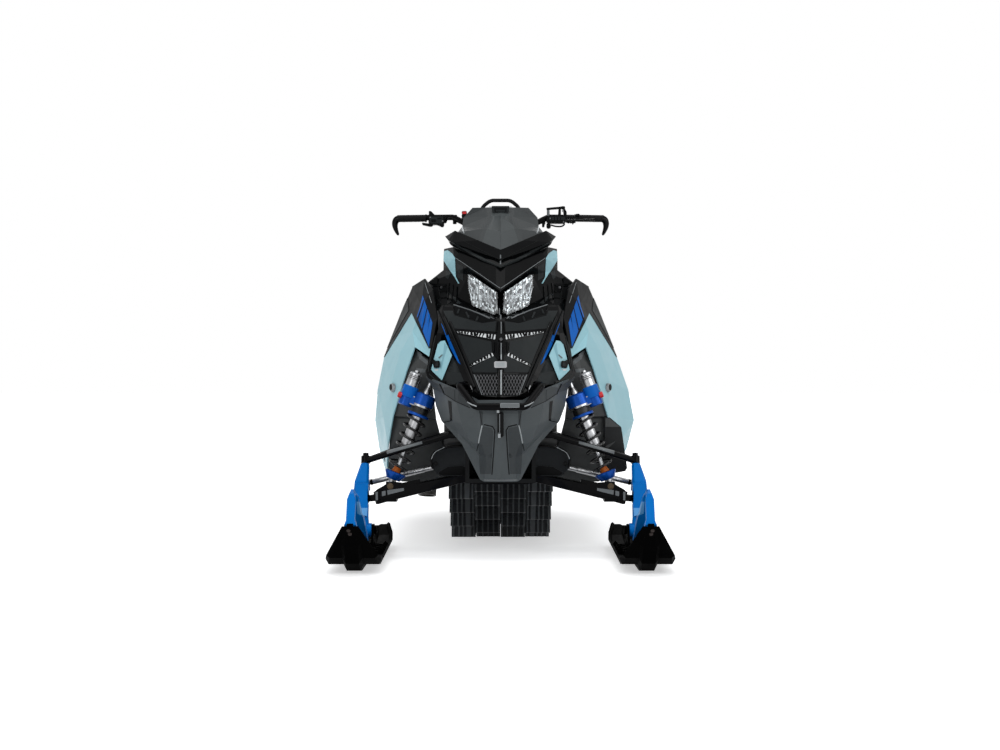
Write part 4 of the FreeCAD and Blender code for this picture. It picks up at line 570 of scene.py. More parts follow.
# A darker copy of the nose grey: painted shade on plates and facets of the nose
NOSE_PAINTED_SHADE = finish("nose_painted_shade", (50, 54, 56),
                    0.5, vary=0.06, grain=2400, grain_depth=0.00008, specular=0.2)
FENDER_GREY = finish("fender_grey", (70, 72, 72),
                     0.44, vary=0.06, grain=2400, grain_depth=0.00008, specular=0.18)
LIGHT_GREY = finish("light_grey", (150, 155, 157), 0.4, vary=0.05, grain=2000, specular=0.3)
MID_GREY = finish("mid_grey", (98, 102, 104), 0.42, vary=0.05, grain=2000, specular=0.25)
SCREEN = finish("screen", (55, 58, 59), 0.34, vary=0.03, specular=0.08)
# A lighter copy of the windshield tint: painted light on its middle facet
SCREEN_PAINTED_LIGHT = finish("screen_painted_light", (62, 66, 67), 0.34, vary=0.03, specular=0.08)
BLUE_PAINT = finish("blue_paint", (0, 104, 184), 0.32, coat=0.03, vary=0.04, specular=0.06)
# A lighter copy of the blue: painted highlight on the spindle covers and ski loops
BLUE_PAINTED_HIGHLIGHT = finish("blue_painted_highlight", (96, 158, 214), 0.34, vary=0.04, specular=0.06)
# A darker copy of the blue: painted shade along a crease of the spindle covers
BLUE_CREASE_SHADE = finish("blue_painted_crease_shade", (4, 44, 96), 0.4, vary=0.05, specular=0.04)
BLUE_BAND = finish("blue_band", (12, 92, 178), 0.4, vary=0.05, specular=0.08)
BLUE_METAL = finish("blue_anodised", (12, 68, 150),
                    0.3, metallic=0.3, coat=0.04, vary=0.06, specular=0.1)
SKI_BLACK = finish("ski_black", (4, 4, 4), 0.5, vary=0.08, specular=0.004)
ARM_BLACK = finish("powder_black", (5, 5, 6), 0.3, coat=0.04, vary=0.1, grain=2800, grain_depth=0.00003,
                   specular=0.03)
LINER_GREY = finish("liner_grey", (48, 50, 52), 0.5, vary=0.1, grain=2200, specular=0.05)
FRAME_BLACK = finish("frame_black", (17, 18, 19),
                     0.5, vary=0.1, grain=2200, grain_depth=0.00008, specular=0.06)
ALLOY = finish("alloy", (158, 159, 161), 0.3, metallic=0.95, vary=0.05, grain=2600, grain_depth=0.00002)
CAST = finish("cast_alloy", (112, 115, 118), 0.55, metallic=0.7, vary=0.08, grain=1500,
              grain_depth=0.00012)
STEEL = finish("steel", (170, 172, 175), 0.3, metallic=1.0, vary=0.05, grain=2200, stretch=(1, 1, 10))
DARK_STEEL = finish("dark_steel", (84, 85, 87), 0.38, metallic=0.9, vary=0.08, grain=2200)
GOLD_BOLT = finish("plated_bolt", (80, 68, 52), 0.45, metallic=0.2, vary=0.08, specular=0.15)
WORN_BOLT = finish("worn_bolt", (54, 48, 46), 0.5, vary=0.1, specular=0.08)
SPRING_BLACK = finish("spring_black", (12, 12, 13),
                      0.24, coat=0.15, vary=0.08, grain=2200, specular=0.25)
RUBBER = finish("rubber", (18, 18, 19), 0.74, vary=0.18, grain=1500, grain_depth=0.0002, specular=0.12)
TRACK_RUBBER = finish("track_rubber", (46, 48, 50),
                      0.5, vary=0.2, grain=1100, grain_depth=0.0002, specular=0.25)
# A lighter copy of the track rubber for the upright ribs: a painted highlight
TRACK_RIB_HIGHLIGHT = finish("track_rib_painted_highlight", (92, 95, 97), 0.55, vary=0.2, grain=1100, grain_depth=0.0002,
                   specular=0.25)
ORANGE = finish("orange_bumper", (170, 86, 24), 0.5, vary=0.08, specular=0.25)
RED = finish("red_plastic", (192, 24, 28), 0.32, coat=0.2, vary=0.05, specular=0.3)
RED_LENS = finish("red_lens", (140, 8, 10), 0.16, coat=0.15, vary=0.05, grain=200, grain_depth=0.0002,
                  specular=0.15)
WHITE_TRIM = finish("white_trim", (202, 205, 206), 0.32, vary=0.03, specular=0.2)


def make_lens():
    """Clear moulded plastic, tinted a little where it is thick."""
    made, tree, bsdf = blank_material("clear_lens")
    bsdf.inputs["Base Color"].default_value = (0.93, 0.96, 0.97, 1)
    bsdf.inputs["Transmission Weight"].default_value = 1.0
    bsdf.inputs["IOR"].default_value = 1.45
    smear = noise(tree, 40.0, 3.0).outputs["Fac"]
    tree.links.new(spread(tree, smear, 0.02, 0.05), bsdf.inputs["Roughness"])
    bumped(tree, bsdf, noise(tree, 300, 2.0).outputs["Fac"], 0.00004)
    return made


def make_reflector():
    """Bright metal behind the lens, with upright flutes."""
    made, tree, bsdf = blank_material("reflector")
    base = linear((224, 227, 229))
    cloud = noise(tree, 60.0, 2.0).outputs["Fac"]
    tree.links.new(tones(tree, cloud, scaled(base, 0.82), base), bsdf.inputs["Base Color"])
    bsdf.inputs["Metallic"].default_value = 0.9
    bsdf.inputs["Roughness"].default_value = 0.14
    where = tree.nodes.new("ShaderNodeTexCoord")
    flutes = tree.nodes.new("ShaderNodeTexWave")
    flutes.bands_direction = "X"
    flutes.inputs["Scale"].default_value = 28.0
    flutes.inputs["Distortion"].default_value = 0.0
    tree.links.new(where.outputs["Object"], flutes.inputs["Vector"])
    bumped(tree, bsdf, flutes.outputs["Fac"], 0.002)
    return made


def make_seat_cover(name, colour):
    """Seat vinyl: a fine pebbled grain with a few softer creases."""
    made, tree, bsdf = blank_material(name)
    base = linear(colour)
    cloud = noise(tree, 9.0, 4.0).outputs["Fac"]
    tree.links.new(tones(tree, cloud, scaled(base, 0.8), scaled(base, 1.25)), bsdf.inputs["Base Color"])
    tree.links.new(spread(tree, cloud, 0.45, 0.62), bsdf.inputs["Roughness"])
    where = tree.nodes.new("ShaderNodeTexCoord")
    pebbles = tree.nodes.new("ShaderNodeTexVoronoi")
    pebbles.inputs["Scale"].default_value = 420.0
    tree.links.new(where.outputs["Object"], pebbles.inputs["Vector"])
    bumped(tree, bsdf, pebbles.outputs["Distance"], 0.00035)
    return made


def make_tunnel_sheet():
    """Black painted sheet with a faint rolled direction."""
    return finish("tunnel_sheet", (30, 31, 32), 0.36, metallic=0.4, coat=0.2, vary=0.08, grain=700,
                  grain_depth=0.00006, stretch=(1, 0.08, 1))


LENS = make_lens()
REFLECTOR = make_reflector()
SEAT_VINYL = make_seat_cover("seat_vinyl", (17, 18, 19))
SEAT_SIDE = make_seat_cover("seat_side", (30, 32, 33))
THREAD = finish("thread", (120, 124, 126), 0.7, vary=0.1, specular=0.1)
TUNNEL_SHEET = make_tunnel_sheet()
EXHAUST = finish("exhaust_steel", (74, 71, 69), 0.42, metallic=0.9, vary=0.25, rough_vary=0.12)

NODE_FINISH = (
    (ALLOY, "front_shocks skid_rails tie_rod_left tie_rod_right"),
    (ARM_BLACK, "front_bumper handlebar lower_arms rear_bumper skid_arms steering_post upper_arms"),
    (BLACK_GLOSS, "hood visor"),
    (BLACK_ROUGH, "belly_pan snow_flap"),
    (BLACK_SATIN, "console hand_controls rear_idlers"),
    (BLUE_PAINT, "ski_loop_left ski_loop_right spindle_left spindle_right"),
    (CAST, "engine_block"),
    (DARK_STEEL, "drive_axle"),
    (EXHAUST, "exhaust_outlet"),
    (FENDER_GREY, "fender_left fender_right"),
    (FRAME_BLACK, "bulkhead over_frame"),
    (LENS, "headlights"),
    (NOSE_GREY, "nose_cover"),
    (RED_LENS, "tail_lamp"),
    (RUBBER, "grab_strap grips"),
    (SCREEN, "windshield"),
    (SEAT_VINYL, "seat"),
    (SKI_BLACK, "ski_left ski_right"),
    (SPRING_BLACK, "front_springs"),
    (TEAL, "side_panel_left side_panel_right"),
    (TRACK_RUBBER, "track"),
    (TUNNEL_SHEET, "running_board_left running_board_right tunnel"),
)
SPINDLE_PAINT_TOP = 0.349


def finish_nodes():
    """Gives each solid its finish; the spindles are black above the paint."""
    for material, names in NODE_FINISH:
        for name in names.split():
            data = NODES[name].data
            data.materials.clear()
            data.materials.append(material)
            painted = name.startswith("spindle")
            if painted:
                data.materials.append(ARM_BLACK)
            for face in data.polygons:
                face.material_index = int(painted and face.center.z > SPINDLE_PAINT_TOP)


finish_nodes()


# Studio

def by_ray(tree, lit, seen):
    """Mixes two closures: what lights the scene, and what the camera, mirrors and glass see."""
    rays = tree.nodes.new("ShaderNodeLightPath").outputs
    share = rays["Is Camera Ray"]
    for kind in ("Is Glossy Ray", "Is Transmission Ray"):
        larger = tree.nodes.new("ShaderNodeMath")
        larger.operation = "MAXIMUM"
        tree.links.new(share, larger.inputs[0])
        tree.links.new(rays[kind], larger.inputs[1])
        share = larger.outputs[0]
    mix = tree.nodes.new("ShaderNodeMixShader")
    tree.links.new(share, mix.inputs["Fac"])
    tree.links.new(lit, mix.inputs[1])
    tree.links.new(seen, mix.inputs[2])
    return mix.outputs["Shader"]


def make_world():
    world = bpy.data.worlds.new("studio")
    scene.world = world
    world.use_nodes = True
    tree = world.node_tree
    lit = tree.nodes["Background"]
    lit.inputs["Color"].default_value = (0.96, 0.98, 1, 1)
    lit.inputs["Strength"].default_value = 0.55
    seen = tree.nodes.new("ShaderNodeBackground")
    seen.inputs["Color"].default_value = (1, 1, 1, 1)
    seen.inputs["Strength"].default_value = 1.0
    shown = by_ray(tree, lit.outputs["Background"], seen.outputs["Background"])
    tree.links.new(shown, tree.nodes["World Output"].inputs["Surface"])


FLOOR_SIZE = 80
FLOOR_GLOW_START, FLOOR_GLOW_END = 2.2, 6.5


def make_floor():
    """A white floor that fades into the background with its distance from the vehicle."""
    bpy.ops.mesh.primitive_plane_add(size=FLOOR_SIZE, location=(0, 0, 0))
    floor = bpy.context.object
    floor.name = "floor"
    made, tree, bsdf = blank_material("floor_white")
    bsdf.inputs["Base Color"].default_value = (0.9, 0.9, 0.9, 1)
    bsdf.inputs["Roughness"].default_value = 0.9
    bsdf.inputs["Specular IOR Level"].default_value = 0.0
    glow = tree.nodes.new("ShaderNodeEmission")
    where = tree.nodes.new("ShaderNodeTexCoord")
    away = tree.nodes.new("ShaderNodeVectorMath")
    away.operation = "LENGTH"
    tree.links.new(where.outputs["Object"], away.inputs[0])
    glow_strength = spread(tree, away.outputs["Value"], 0.5, 1.0, FLOOR_GLOW_START, FLOOR_GLOW_END)
    tree.links.new(glow_strength, glow.inputs["Strength"])
    added = tree.nodes.new("ShaderNodeAddShader")
    tree.links.new(bsdf.outputs["BSDF"], added.inputs[0])
    tree.links.new(glow.outputs["Emission"], added.inputs[1])
    shown = by_ray(tree, bsdf.outputs["BSDF"], added.outputs["Shader"])
    tree.links.new(shown, tree.nodes["Material Output"].inputs["Surface"])
    floor.data.materials.append(made)


def area_light(name, place, target, size, power):
    """A rectangular lamp that looks at a target."""
    data = bpy.data.lights.new(name, "AREA")
    data.shape = "RECTANGLE"
    data.size, data.size_y = size
    data.energy = power
    lamp = bpy.data.objects.new(name, data)
    lamp.location = place
    lamp.rotation_euler = (Vector(target) - Vector(place)).to_track_quat("-Z", "Y").to_euler()
    scene.collection.objects.link(lamp)
    return lamp


make_world()
make_floor()
area_light("top", (0, -1.2, 4.2), (0, -0.6, 0), (4.0, 3.0), 66)
area_light("front_left", (2.6, -4.6, 2.6), (0, -0.9, 0.6), (1.6, 2.2), 44)
area_light("front_right", (-2.6, -4.6, 2.6), (0, -0.9, 0.6), (1.6, 2.2), 44)
area_light("rear", (0, 4.0, 3.0), (0, 0.3, 0.5), (3.0, 1.6), 44)
sheen = area_light("sheen", (3.9, -2.6, 2.5), (0, -1.0, 0.8), (2.6, 2.6), 80)
sheen.visible_diffuse = False


# Trim of the hood; outlines are places in the photograph's frame, seen on the right half

UPPER_STRIP = ((457.8, 332.0), (495.4, 337.2), 1.6, 4.6)
LOWER_STRIP = ((469.3, 366.4), (493.0, 354.4), 1.2, 3.4)
GRILLE = [(474.1, 374.6), (497.7, 374.6), (497.7, 395.4), (482.4, 395.4)]


def jagged(start, end, width_start, width_end, count, draw):
    """Slanted slats along a strip, of uneven widths, as a printed pattern shows them."""
    a, b = Vector((*start, 0)), Vector((*end, 0))
    along = b - a
    up = Vector((-along.y, along.x, 0)).normalized()
    slats = []
    for i in range(count):
        low = (i + draw.uniform(0.0, 0.12)) / count
        high = low + draw.uniform(0.42, 0.74) / count
        lean = draw.uniform(-0.5, 0.7) / count
        wide = (width_start + (width_end - width_start) * low) / 2
        corners = (
            a + along * low - up * wide, a + along * high - up * wide,
            a + along * (high + lean) + up * wide, a + along * (low + lean * 0.4) + up * wide,
        )
        slats.append([tuple(corner[:2]) for corner in corners])
    return slats


def make_hood_trim():
    """Facets, printed strips, stripes and rails of the hood."""
    laid("hood_facets", "hood", [
        [(443.4, 310.8), (452.7, 310.8), (454.7, 315.5), (452, 328), (448.9, 323.2)],
        [(454.7, 315.5), (482.4, 323.4), (497.2, 332), (453, 328.6), (452, 328)],
        [(482.4, 323.4), (496.7, 321.3), (497.2, 332)],
        [(456.2, 334.4), (491.5, 341.6), (492.3, 352.4), (468.6, 365.0)],
        [(470.2, 368.2), (494.2, 356.0), (497.4, 360.4), (497.4, 372.6), (473.4, 372.6)],
    ], DARK_GREY, height=0.0015, rim=0.0006)
    draw = random.Random(11)
    laid("hood_strip_backs", "hood", [band(*strip_at) for strip_at in (UPPER_STRIP, LOWER_STRIP)],
         WHITE_TRIM, height=0.0014)
    laid("hood_slats", "hood", jagged(*UPPER_STRIP, 12, draw) + jagged(*LOWER_STRIP, 8, draw),
         BLACK_GLOSS, height=0.0022)
    laid("hood_stripes", "hood", [
        [(441.3, 323.6), (443.9, 323.2), (450.4, 340.2), (448.2, 342.2)],
        [(448.4, 342.6), (450.6, 340.8), (460.8, 364.8), (458.2, 362.4), (449.8, 347)],
    ], BLUE_BAND, height=0.0012)
    laid("hood_dark_sides", "hood", [
        [(452.6, 356.4), (458.6, 368.4), (464.2, 381.6), (450.2, 385.2), (442.6, 380.6)],
    ], DARK_GREY, height=0.0008)
    rails = Piece()
    seams(rails, "hood", (
        (((444.6, 318.0), (452.6, 336.0), (463.0, 360.0), (474.8, 388.0)), 0.0062, BLACK_GLOSS),
        (((450.2, 322.0), (459.0, 341.0), (468.0, 362.5), (478.8, 392.0)), 0.0042, BLACK_GLOSS),
        (((438.4, 311.5), (441.0, 318.4), (447.8, 335.0)), 0.0040, BLACK_GLOSS),
    ), lift=0.0015, sides=12)
    seam(rails, "hood", ((471.2, 386.4), (474.4, 393.4), (476.4, 399.0)), 0.0016, ALLOY, lift=0.004)
    rails.finish("hood_rails", "chassis", "black_gloss")


def make_ridge():
    """The rib down the middle of the hood, with a painted highlight down its middle, its clip, and a
    blank plate.
    """
    piece = Piece()
    seams(piece, "hood", (
        (((498.4, 292.0), (498.2, 306.0), (497.6, 318.0), (496.2, 332.5)), 0.0032, BLACK_GLOSS),
        (((498.2, 340.5), (498.0, 353.0), (499.0, 360.0)), 0.0048, BLACK_GLOSS),
        (((494.2, 342.4), (494.0, 352.2)), 0.0036, BLACK_GLOSS),
        (((499.2, 370.0), (499.0, 384.0), (499.4, 394.8)), 0.0045, BLACK_GLOSS),
    ), lift=0.001)
    # Mid and light grey beads down the middle of the rib: a painted highlight
    seams(piece, "hood", (
        (((500.5, 308.5), (500.5, 320.0)), 0.0018, MID_GREY),
        (((500.5, 322.5), (500.5, 334.0)), 0.0018, MID_GREY),
        (((500.5, 343.5), (500.5, 355.0)), 0.0022, MID_GREY),
        (((500.5, 355.0), (500.5, 360.0)), 0.0022, LIGHT_GREY),
        (((500.5, 370.5), (500.5, 395.0)), 0.0026, LIGHT_GREY),
    ), lift=0.004, both=False)
    place, normal = spot("hood", 500.5, 339.5)
    turn = Matrix.Rotation(math.radians(45), 3, "Y")
    piece.box(place + normal * 0.003, (0.013, 0.006, 0.013), DARK_STEEL, 0.002, turn)
    piece.finish("hood_ridge", "chassis", "black_gloss")
    blank = Piece()
    outline = ((494.2, 361.4), (506.8, 361.4), (506.8, 367.8), (494.2, 367.8))
    corners = [spot("hood", *at)[0] for at in outline]
    middle = spot("hood", 500.5, 364.6)[0]
    for size, ahead, depth, material, bevel in (
        (1.0, 0.012, 0.012, ALLOY, 0.0022), (0.72, 0.0132, 0.004, LIGHT_GREY, 0.0008),
    ):
        outline = [
            middle + Vector(((p.x - middle.x) * size, -ahead, (p.z - middle.z) * size)) for p in corners
        ]
        blank.prism(outline, (0, depth, 0), material, bevel)
    blank.finish("hood_plate", "chassis", "alloy")


def clipped(outline, a, b):
    """The part of a line that lies inside a convex outline; nothing if none does."""
    low, high = 0.0, 1.0
    middle = [sum(values) / len(outline) for values in zip(*outline)]
    for p, q in zip(outline, outline[1:] + outline[:1]):
        across = (q[1] - p[1], p[0] - q[0])
        inside = across[0] * (middle[0] - p[0]) + across[1] * (middle[1] - p[1])
        start = (across[0] * (a[0] - p[0]) + across[1] * (a[1] - p[1])) * inside
        end = (across[0] * (b[0] - p[0]) + across[1] * (b[1] - p[1])) * inside
        if start < 0 and end < 0:
            return None
        if start < 0:
            low = max(low, start / (start - end))
        if end < 0:
            high = min(high, start / (start - end))
    if low >= high:
        return None
    return between(a, b, low), between(a, b, high)


def make_grille():
    """The two halves of the mesh-filled intake at the foot of the hood, with a painted highlight on
    their slanting edges and dim lines along their tops and feet.
    """
    laid("grille_backs", "hood", [GRILLE], BLACK_ROUGH, height=0.0006)
    mesh = Piece()
    for k in range(-7, 12):
        for lean in (11, -11):
            start = (474 + k * 3.1 + (0 if lean > 0 else 11), 373)
            run = clipped(GRILLE, start, (start[0] + lean, 397))
            if run:
                seam(mesh, "hood", run, 0.0011, DARK_STEEL, lift=0.0014, steps=3, sides=5)
    mesh.finish("grille_mesh", "chassis", "steel")
    edges = Piece()
    # The mid grey bead on the slanting edge is a painted highlight
    seam(edges, "hood", ((474.3, 374.8), (482.4, 395.2)), 0.0014, MID_GREY, lift=0.0022)
    seam(edges, "hood", ((497.4, 374.6), (474.3, 374.8)), 0.0009, DARK_GREY, lift=0.0022)
    seam(edges, "hood", ((482.8, 395.6), (497.6, 395.6)), 0.0009, DARK_GREY, lift=0.0020)
    edges.finish("grille_edges", "chassis", "alloy")


def make_ducts():
    """Recessed outlets under the lamps: a dark field, three slanting ribs and a grey bead above."""
    laid("duct_backs", "hood", [
        [(452.9, 305.6), (489.6, 318.2), (482.6, 322.6), (478.8, 321.6), (454.9, 314.8)],
        [(489.6, 318.2), (496.4, 319.2), (482.6, 322.6)],
    ], BLACK_ROUGH, height=0.0008)
    ribs = Piece()
    for run in (
        ((466.4, 312.4), (469.2, 318.2)), ((478.2, 316.8), (476.4, 321.0)),
        ((459.2, 309.6), (457.6, 313.8)),
    ):
        seam(ribs, "hood", run, 0.0032, DARK_GREY, lift=0.001, steps=3)
    seam(ribs, "hood", ((453.8, 305.2), (470.6, 310.6), (490.0, 318.4)), 0.0021, MID_GREY, lift=0.0015)
    seam(ribs, "hood", ((452.9, 305.6), (454.9, 315.0), (478.8, 321.8)),
         0.0014, BLACK_GLOSS, lift=0.001)
    ribs.finish("duct_ribs", "chassis", "grey_plastic")


# Dampers and springs of the front suspension

DAMPER_LOW = Vector((0.383, -0.925, 0.250))
DAMPER_TOP = Vector((0.226, -0.905, 0.652))
SPRING_RADIUS = 0.034
SPRING_WIRE = 0.0045
SPRING_SEATS = (0.122, 0.615)
SPRING_GAP = 0.0003
SPRING_TURNS, SPRING_STEPS = 6, 28
RESERVOIR_OFFSET = 0.058


def make_damper(side, name):
    """A damper with its eyes, seats, body and threads, and the reservoir beside it."""
    line = DAMPER_TOP - DAMPER_LOW
    length, along = line.length, line.normalized()
    outward = Vector((0, 1, 0)).cross(along).normalized()
    piece = Piece()

    def at(share):
        return DAMPER_LOW + along * (length * share)

    def ring(share, steps, material, sides=40):
        piece.stepped(at(share), along, steps, material, sides)

    for end in (0.0, 1.0):
        eye = at(end) - Vector((0, 0.012, 0))
        piece.turned(eye, (0, 1, 0), [(0, 0.0125), (0.0015, 0.014), (0.0225, 0.014), (0.024, 0.0125)],
                     ALLOY)
        piece.turned(eye - Vector((0, 0.0012, 0)), (0, 1, 0), [(0, 0.009), (0.0264, 0.009)], STEEL, 24)
    ring(0.02, [(0, 11), (8, 13), (14, 13), (16, 8)], ALLOY)
    ring(0.04, [(0, 6.5), (140, 6.5)], STEEL, 24)
    ring(0.055, [(0, 24), (2, 26), (20, 37), (25, 37.5), (27, 35)], BLUE_METAL)
    ring(0.118, [(0, 15), (2, 17), (12, 13), (20, 11), (22, 9)], ORANGE)
    ring(0.335, [(0, 16), (3, 20), (8, 21), (112, 21)], ALLOY)
    ring(0.6, [(0, 38), (2.5, 39), (6, 39), (9, 37)], BLUE_METAL)
    for turn in range(7):
        ring(0.622 + turn * 0.008, [(0, 29), (1.2, 31), (2, 31), (3, 29)], DARK_STEEL)
    ring(0.672, [(0, 31), (2, 36), (9, 36), (11, 33)], ALLOY)
    ring(0.69, [(0, 33), (2, 38), (38, 38), (41, 35), (44, 24)], BLUE_METAL)
    ring(0.76, [(0, 12), (2, 14), (20, 14), (30, 11), (38, 9)], ALLOY)
    ring(0.85, [(0, 8.5), (55, 8.5)], STEEL, 24)
    start = at(0.66) + outward * RESERVOIR_OFFSET

    def can(reach, steps, material):
        piece.stepped(start + along * reach * MM, along, steps, material, 40)

    can(-8, [(0, 20), (3, 25), (30, 25), (32, 27)], BLUE_METAL)
    can(24, [(0, 27), (1.5, 27.6), (38, 27.6), (40, 26)], BLUE_BAND)
    can(64, [(0, 23), (22, 23)], ALLOY)
    for groove in range(3):
        can(86 + groove * 6, [(0, 22), (1, 23.4), (4, 23.4), (5, 22)], ALLOY)
    can(104, [(0, 23), (6, 22.5), (10, 18), (12, 9), (18, 8), (19, 6)], STEEL)
    piece.prism(
        [at(0.672) + Vector((0, y, 0)) for y in (-0.022, 0.022)]
        + [at(0.672) + Vector((0, y, 0)) + outward * RESERVOIR_OFFSET for y in (0.022, -0.022)],
        along * 0.03, BLUE_METAL, 0.003,
    )
    knob = start + along * 0.022 + outward * 0.02 - Vector((0, 0.012, 0))
    piece.turned(knob, outward, [(0, 0.009), (0.003, 0.0105), (0.012, 0.0105), (0.014, 0.009)], RED, 16)
    piece.finish(f"damper_{name}", "chassis", "blue_metal", flip=side == RIGHT)


def make_spring(side, name):
    """A coil spring with closed ends, between the seats of a damper."""
    line = DAMPER_TOP - DAMPER_LOW
    along = line.normalized()
    first = along.cross(Vector((1, 0, 0))).normalized()
    second = along.cross(first)
    low = DAMPER_LOW + along * (line.length * SPRING_SEATS[0] + SPRING_GAP + SPRING_WIRE)
    high = DAMPER_LOW + along * (line.length * SPRING_SEATS[1] - SPRING_GAP - SPRING_WIRE)
    spokes = around(first, second, SPRING_STEPS)
    count = SPRING_TURNS * SPRING_STEPS
    path = []
    for i in range(count + 1):
        path.append(low.lerp(high, i / count) + spokes[i % SPRING_STEPS] * SPRING_RADIUS)
    piece = Piece()
    piece.tube(path, SPRING_WIRE, SPRING_BLACK, sides=12)
    piece.finish(f"spring_{name}", "chassis", "spring_steel", flip=side == RIGHT)


# Track

TRACK_CIRCLES = ((-0.635, 0.370, 0.092), (-0.130, 0.402, 0.330), (1.025, 0.161, 0.089))
TRACK_WIDTH = 0.381
BELT_THICK = 0.006
LUG_HEIGHT = 0.066
LUG_ROOT = 0.002
ARC_STEPS, SPAN_STEPS = 60, 200
LUG_ROWS = 54
RIB_NARROWS = 0.82
# Share of the paddle's width and half width of each upright rib
OUTER_RIBS = ((0.08, 0.0045), (0.31, 0.0035), (0.49, 0.0035), (0.72, 0.0105), (0.93, 0.0035))
INNER_RIBS = ((0.05, 0.004), (0.275, 0.0035), (0.5, 0.0035), (0.725, 0.0035), (0.95, 0.004))


def belt_line(grow, count):
    """Evenly spaced points round the belt, with the outward direction at each."""
    ends = []
    for i in range(3):
        y0, z0, r0 = TRACK_CIRCLES[i]
        y1, z1, r1 = TRACK_CIRCLES[(i + 1) % 3]
        run = Vector((0, y1 - y0, z1 - z0))
        turn = math.acos((r0 - r1) / run.length)
        normal = Matrix.Rotation(-turn, 3, "X") @ run.normalized()
        ends.append((Vector((0, y0, z0)) + normal * (r0 + grow),
                     Vector((0, y1, z1)) + normal * (r1 + grow), normal))
    fine = []
    for i in range(3):
        y, z, radius = TRACK_CIRCLES[i]
        centre = Vector((0, y, z))
        arrive, leave = ends[i - 1][2], ends[i][2]
        sweep = arrive.angle(leave)
        axis = Vector((1, 0, 0)) if arrive.cross(leave).x > 0 else Vector((-1, 0, 0))
        for k in range(ARC_STEPS):
            normal = Matrix.Rotation(sweep * k / ARC_STEPS, 3, axis) @ arrive
            fine.append((centre + normal * (radius + grow), normal))
        start, end, normal = ends[i]
        fine += [(start.lerp(end, k / SPAN_STEPS), normal) for k in range(SPAN_STEPS)]
    reach = [0.0]
    for (a, _), (b, _) in zip(fine, fine[1:] + fine[:1]):
        reach.append(reach[-1] + (b - a).length)
    total = reach[-1]
    line, j = [], 0
    for i in range(count):
        wanted = total * i / count
        while reach[j + 1] < wanted:
            j += 1
        share = (wanted - reach[j]) / (reach[j + 1] - reach[j])
        a, b = fine[j], fine[(j + 1) % len(fine)]
        line.append((a[0].lerp(b[0], share), a[1].lerp(b[1], share).normalized()))
    return line


def make_track():
    """The belt as one closed band, and the lugs on it."""
    piece = Piece()
    outer, inner = belt_line(BELT_THICK, LUG_ROWS * 4), belt_line(0, LUG_ROWS * 4)
    half = TRACK_WIDTH / 2
    points, faces = [], []
    for (out, _), (within, _) in zip(outer, inner):
        for x, at in ((-half, out), (half, out), (half, within), (-half, within)):
            points.append((x, at.y, at.z))
    count = len(outer)
    for i in range(count):
        a, b = i * 4, (i + 1) % count * 4
        faces += [(a + k, a + (k + 1) % 4, b + (k + 1) % 4, b + k) for k in range(4)]
    piece.add(points, faces, TRACK_RUBBER)
    piece.finish("track_belt", "chassis", "rubber", replaced=["track"])
    make_lugs(outer)


def make_lugs(line):
    """Paddles in four columns, two to a row by turns, each with upright ribs in a lighter copy of the
    rubber, a painted highlight.
    """
    piece = Piece()
    quarter = TRACK_WIDTH / 4
    for i in range(LUG_ROWS):
        at, out = line[i * 4]
        ahead = out.cross(Vector((1, 0, 0)))
        for column in (-2, 0) if i % 2 else (-1, 1):
            x0, x1 = column * quarter + 0.001, (column + 1) * quarter - 0.001
            blade(piece, at, ahead, out, x0, x1, 0.0022, 0.0018, LUG_HEIGHT, TRACK_RUBBER)
            blade(piece, at + out * LUG_HEIGHT * 0.36, ahead, out, x0, x1, 0.0045, 0.0045, 0.006,
                  TRACK_RUBBER)
            # The ribs take the lighter rubber, a painted highlight
            for share, half in OUTER_RIBS if column in (-2, 1) else INNER_RIBS:
                x = x0 + (x1 - x0) * (share if column < 0 else 1 - share)
                blade(piece, at, ahead, out, x - half, x + half, 0.0075, 0.0045, LUG_HEIGHT, TRACK_RIB_HIGHLIGHT,
                      RIB_NARROWS)
        piece.box(at - out * LUG_ROOT, (TRACK_WIDTH * 0.98, 0.012, 0.006),
                  TRACK_RUBBER, turn=turned_to(out))
    piece.finish("track_lugs", "chassis", "rubber")


def blade(piece, at, ahead, out, x0, x1, root, tip, height, material, narrow=1.0):
    """A tapering block that stands out from the belt."""
    middle, half = (x0 + x1) / 2, (x1 - x0) / 2
    low, high = at - out * LUG_ROOT, at + out * height
    points = []
    for place, thick, wide in ((low, root, half), (high, tip, half * narrow)):
        for sx, sy in ((-1, -1), (1, -1), (1, 1), (-1, 1)):
            points.append(Vector((middle + sx * wide, 0, 0)) + place + ahead * thick * sy)
    piece.add(points, [(0, 1, 2, 3), (7, 6, 5, 4), (0, 4, 5, 1), (1, 5, 6, 2), (2, 6, 7, 3),
                       (3, 7, 4, 0)], material)


make_hood_trim()
make_ridge()
make_grille()
make_ducts()
for side_sign, side_name in SIDES:
    make_damper(side_sign, side_name)
    make_spring(side_sign, side_name)
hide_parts("front_shocks")
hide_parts("front_springs")
make_track()


# Side panels: black cap with slanted blocks, edge lines and latches

BAND_OUTER = ((328, 921), (249, 733))
BAND_INNER = ((291, 960), (238, 818))


def band_block(start, end, slant):
    """A slanted block of the band on the cap, between two shares of its length."""
    outer = [between(*BAND_OUTER, share + slant) for share in (start, end)]
    inner = [between(*BAND_INNER, share) for share in (start, end)]
    return [outer[0], *inner, outer[1]]


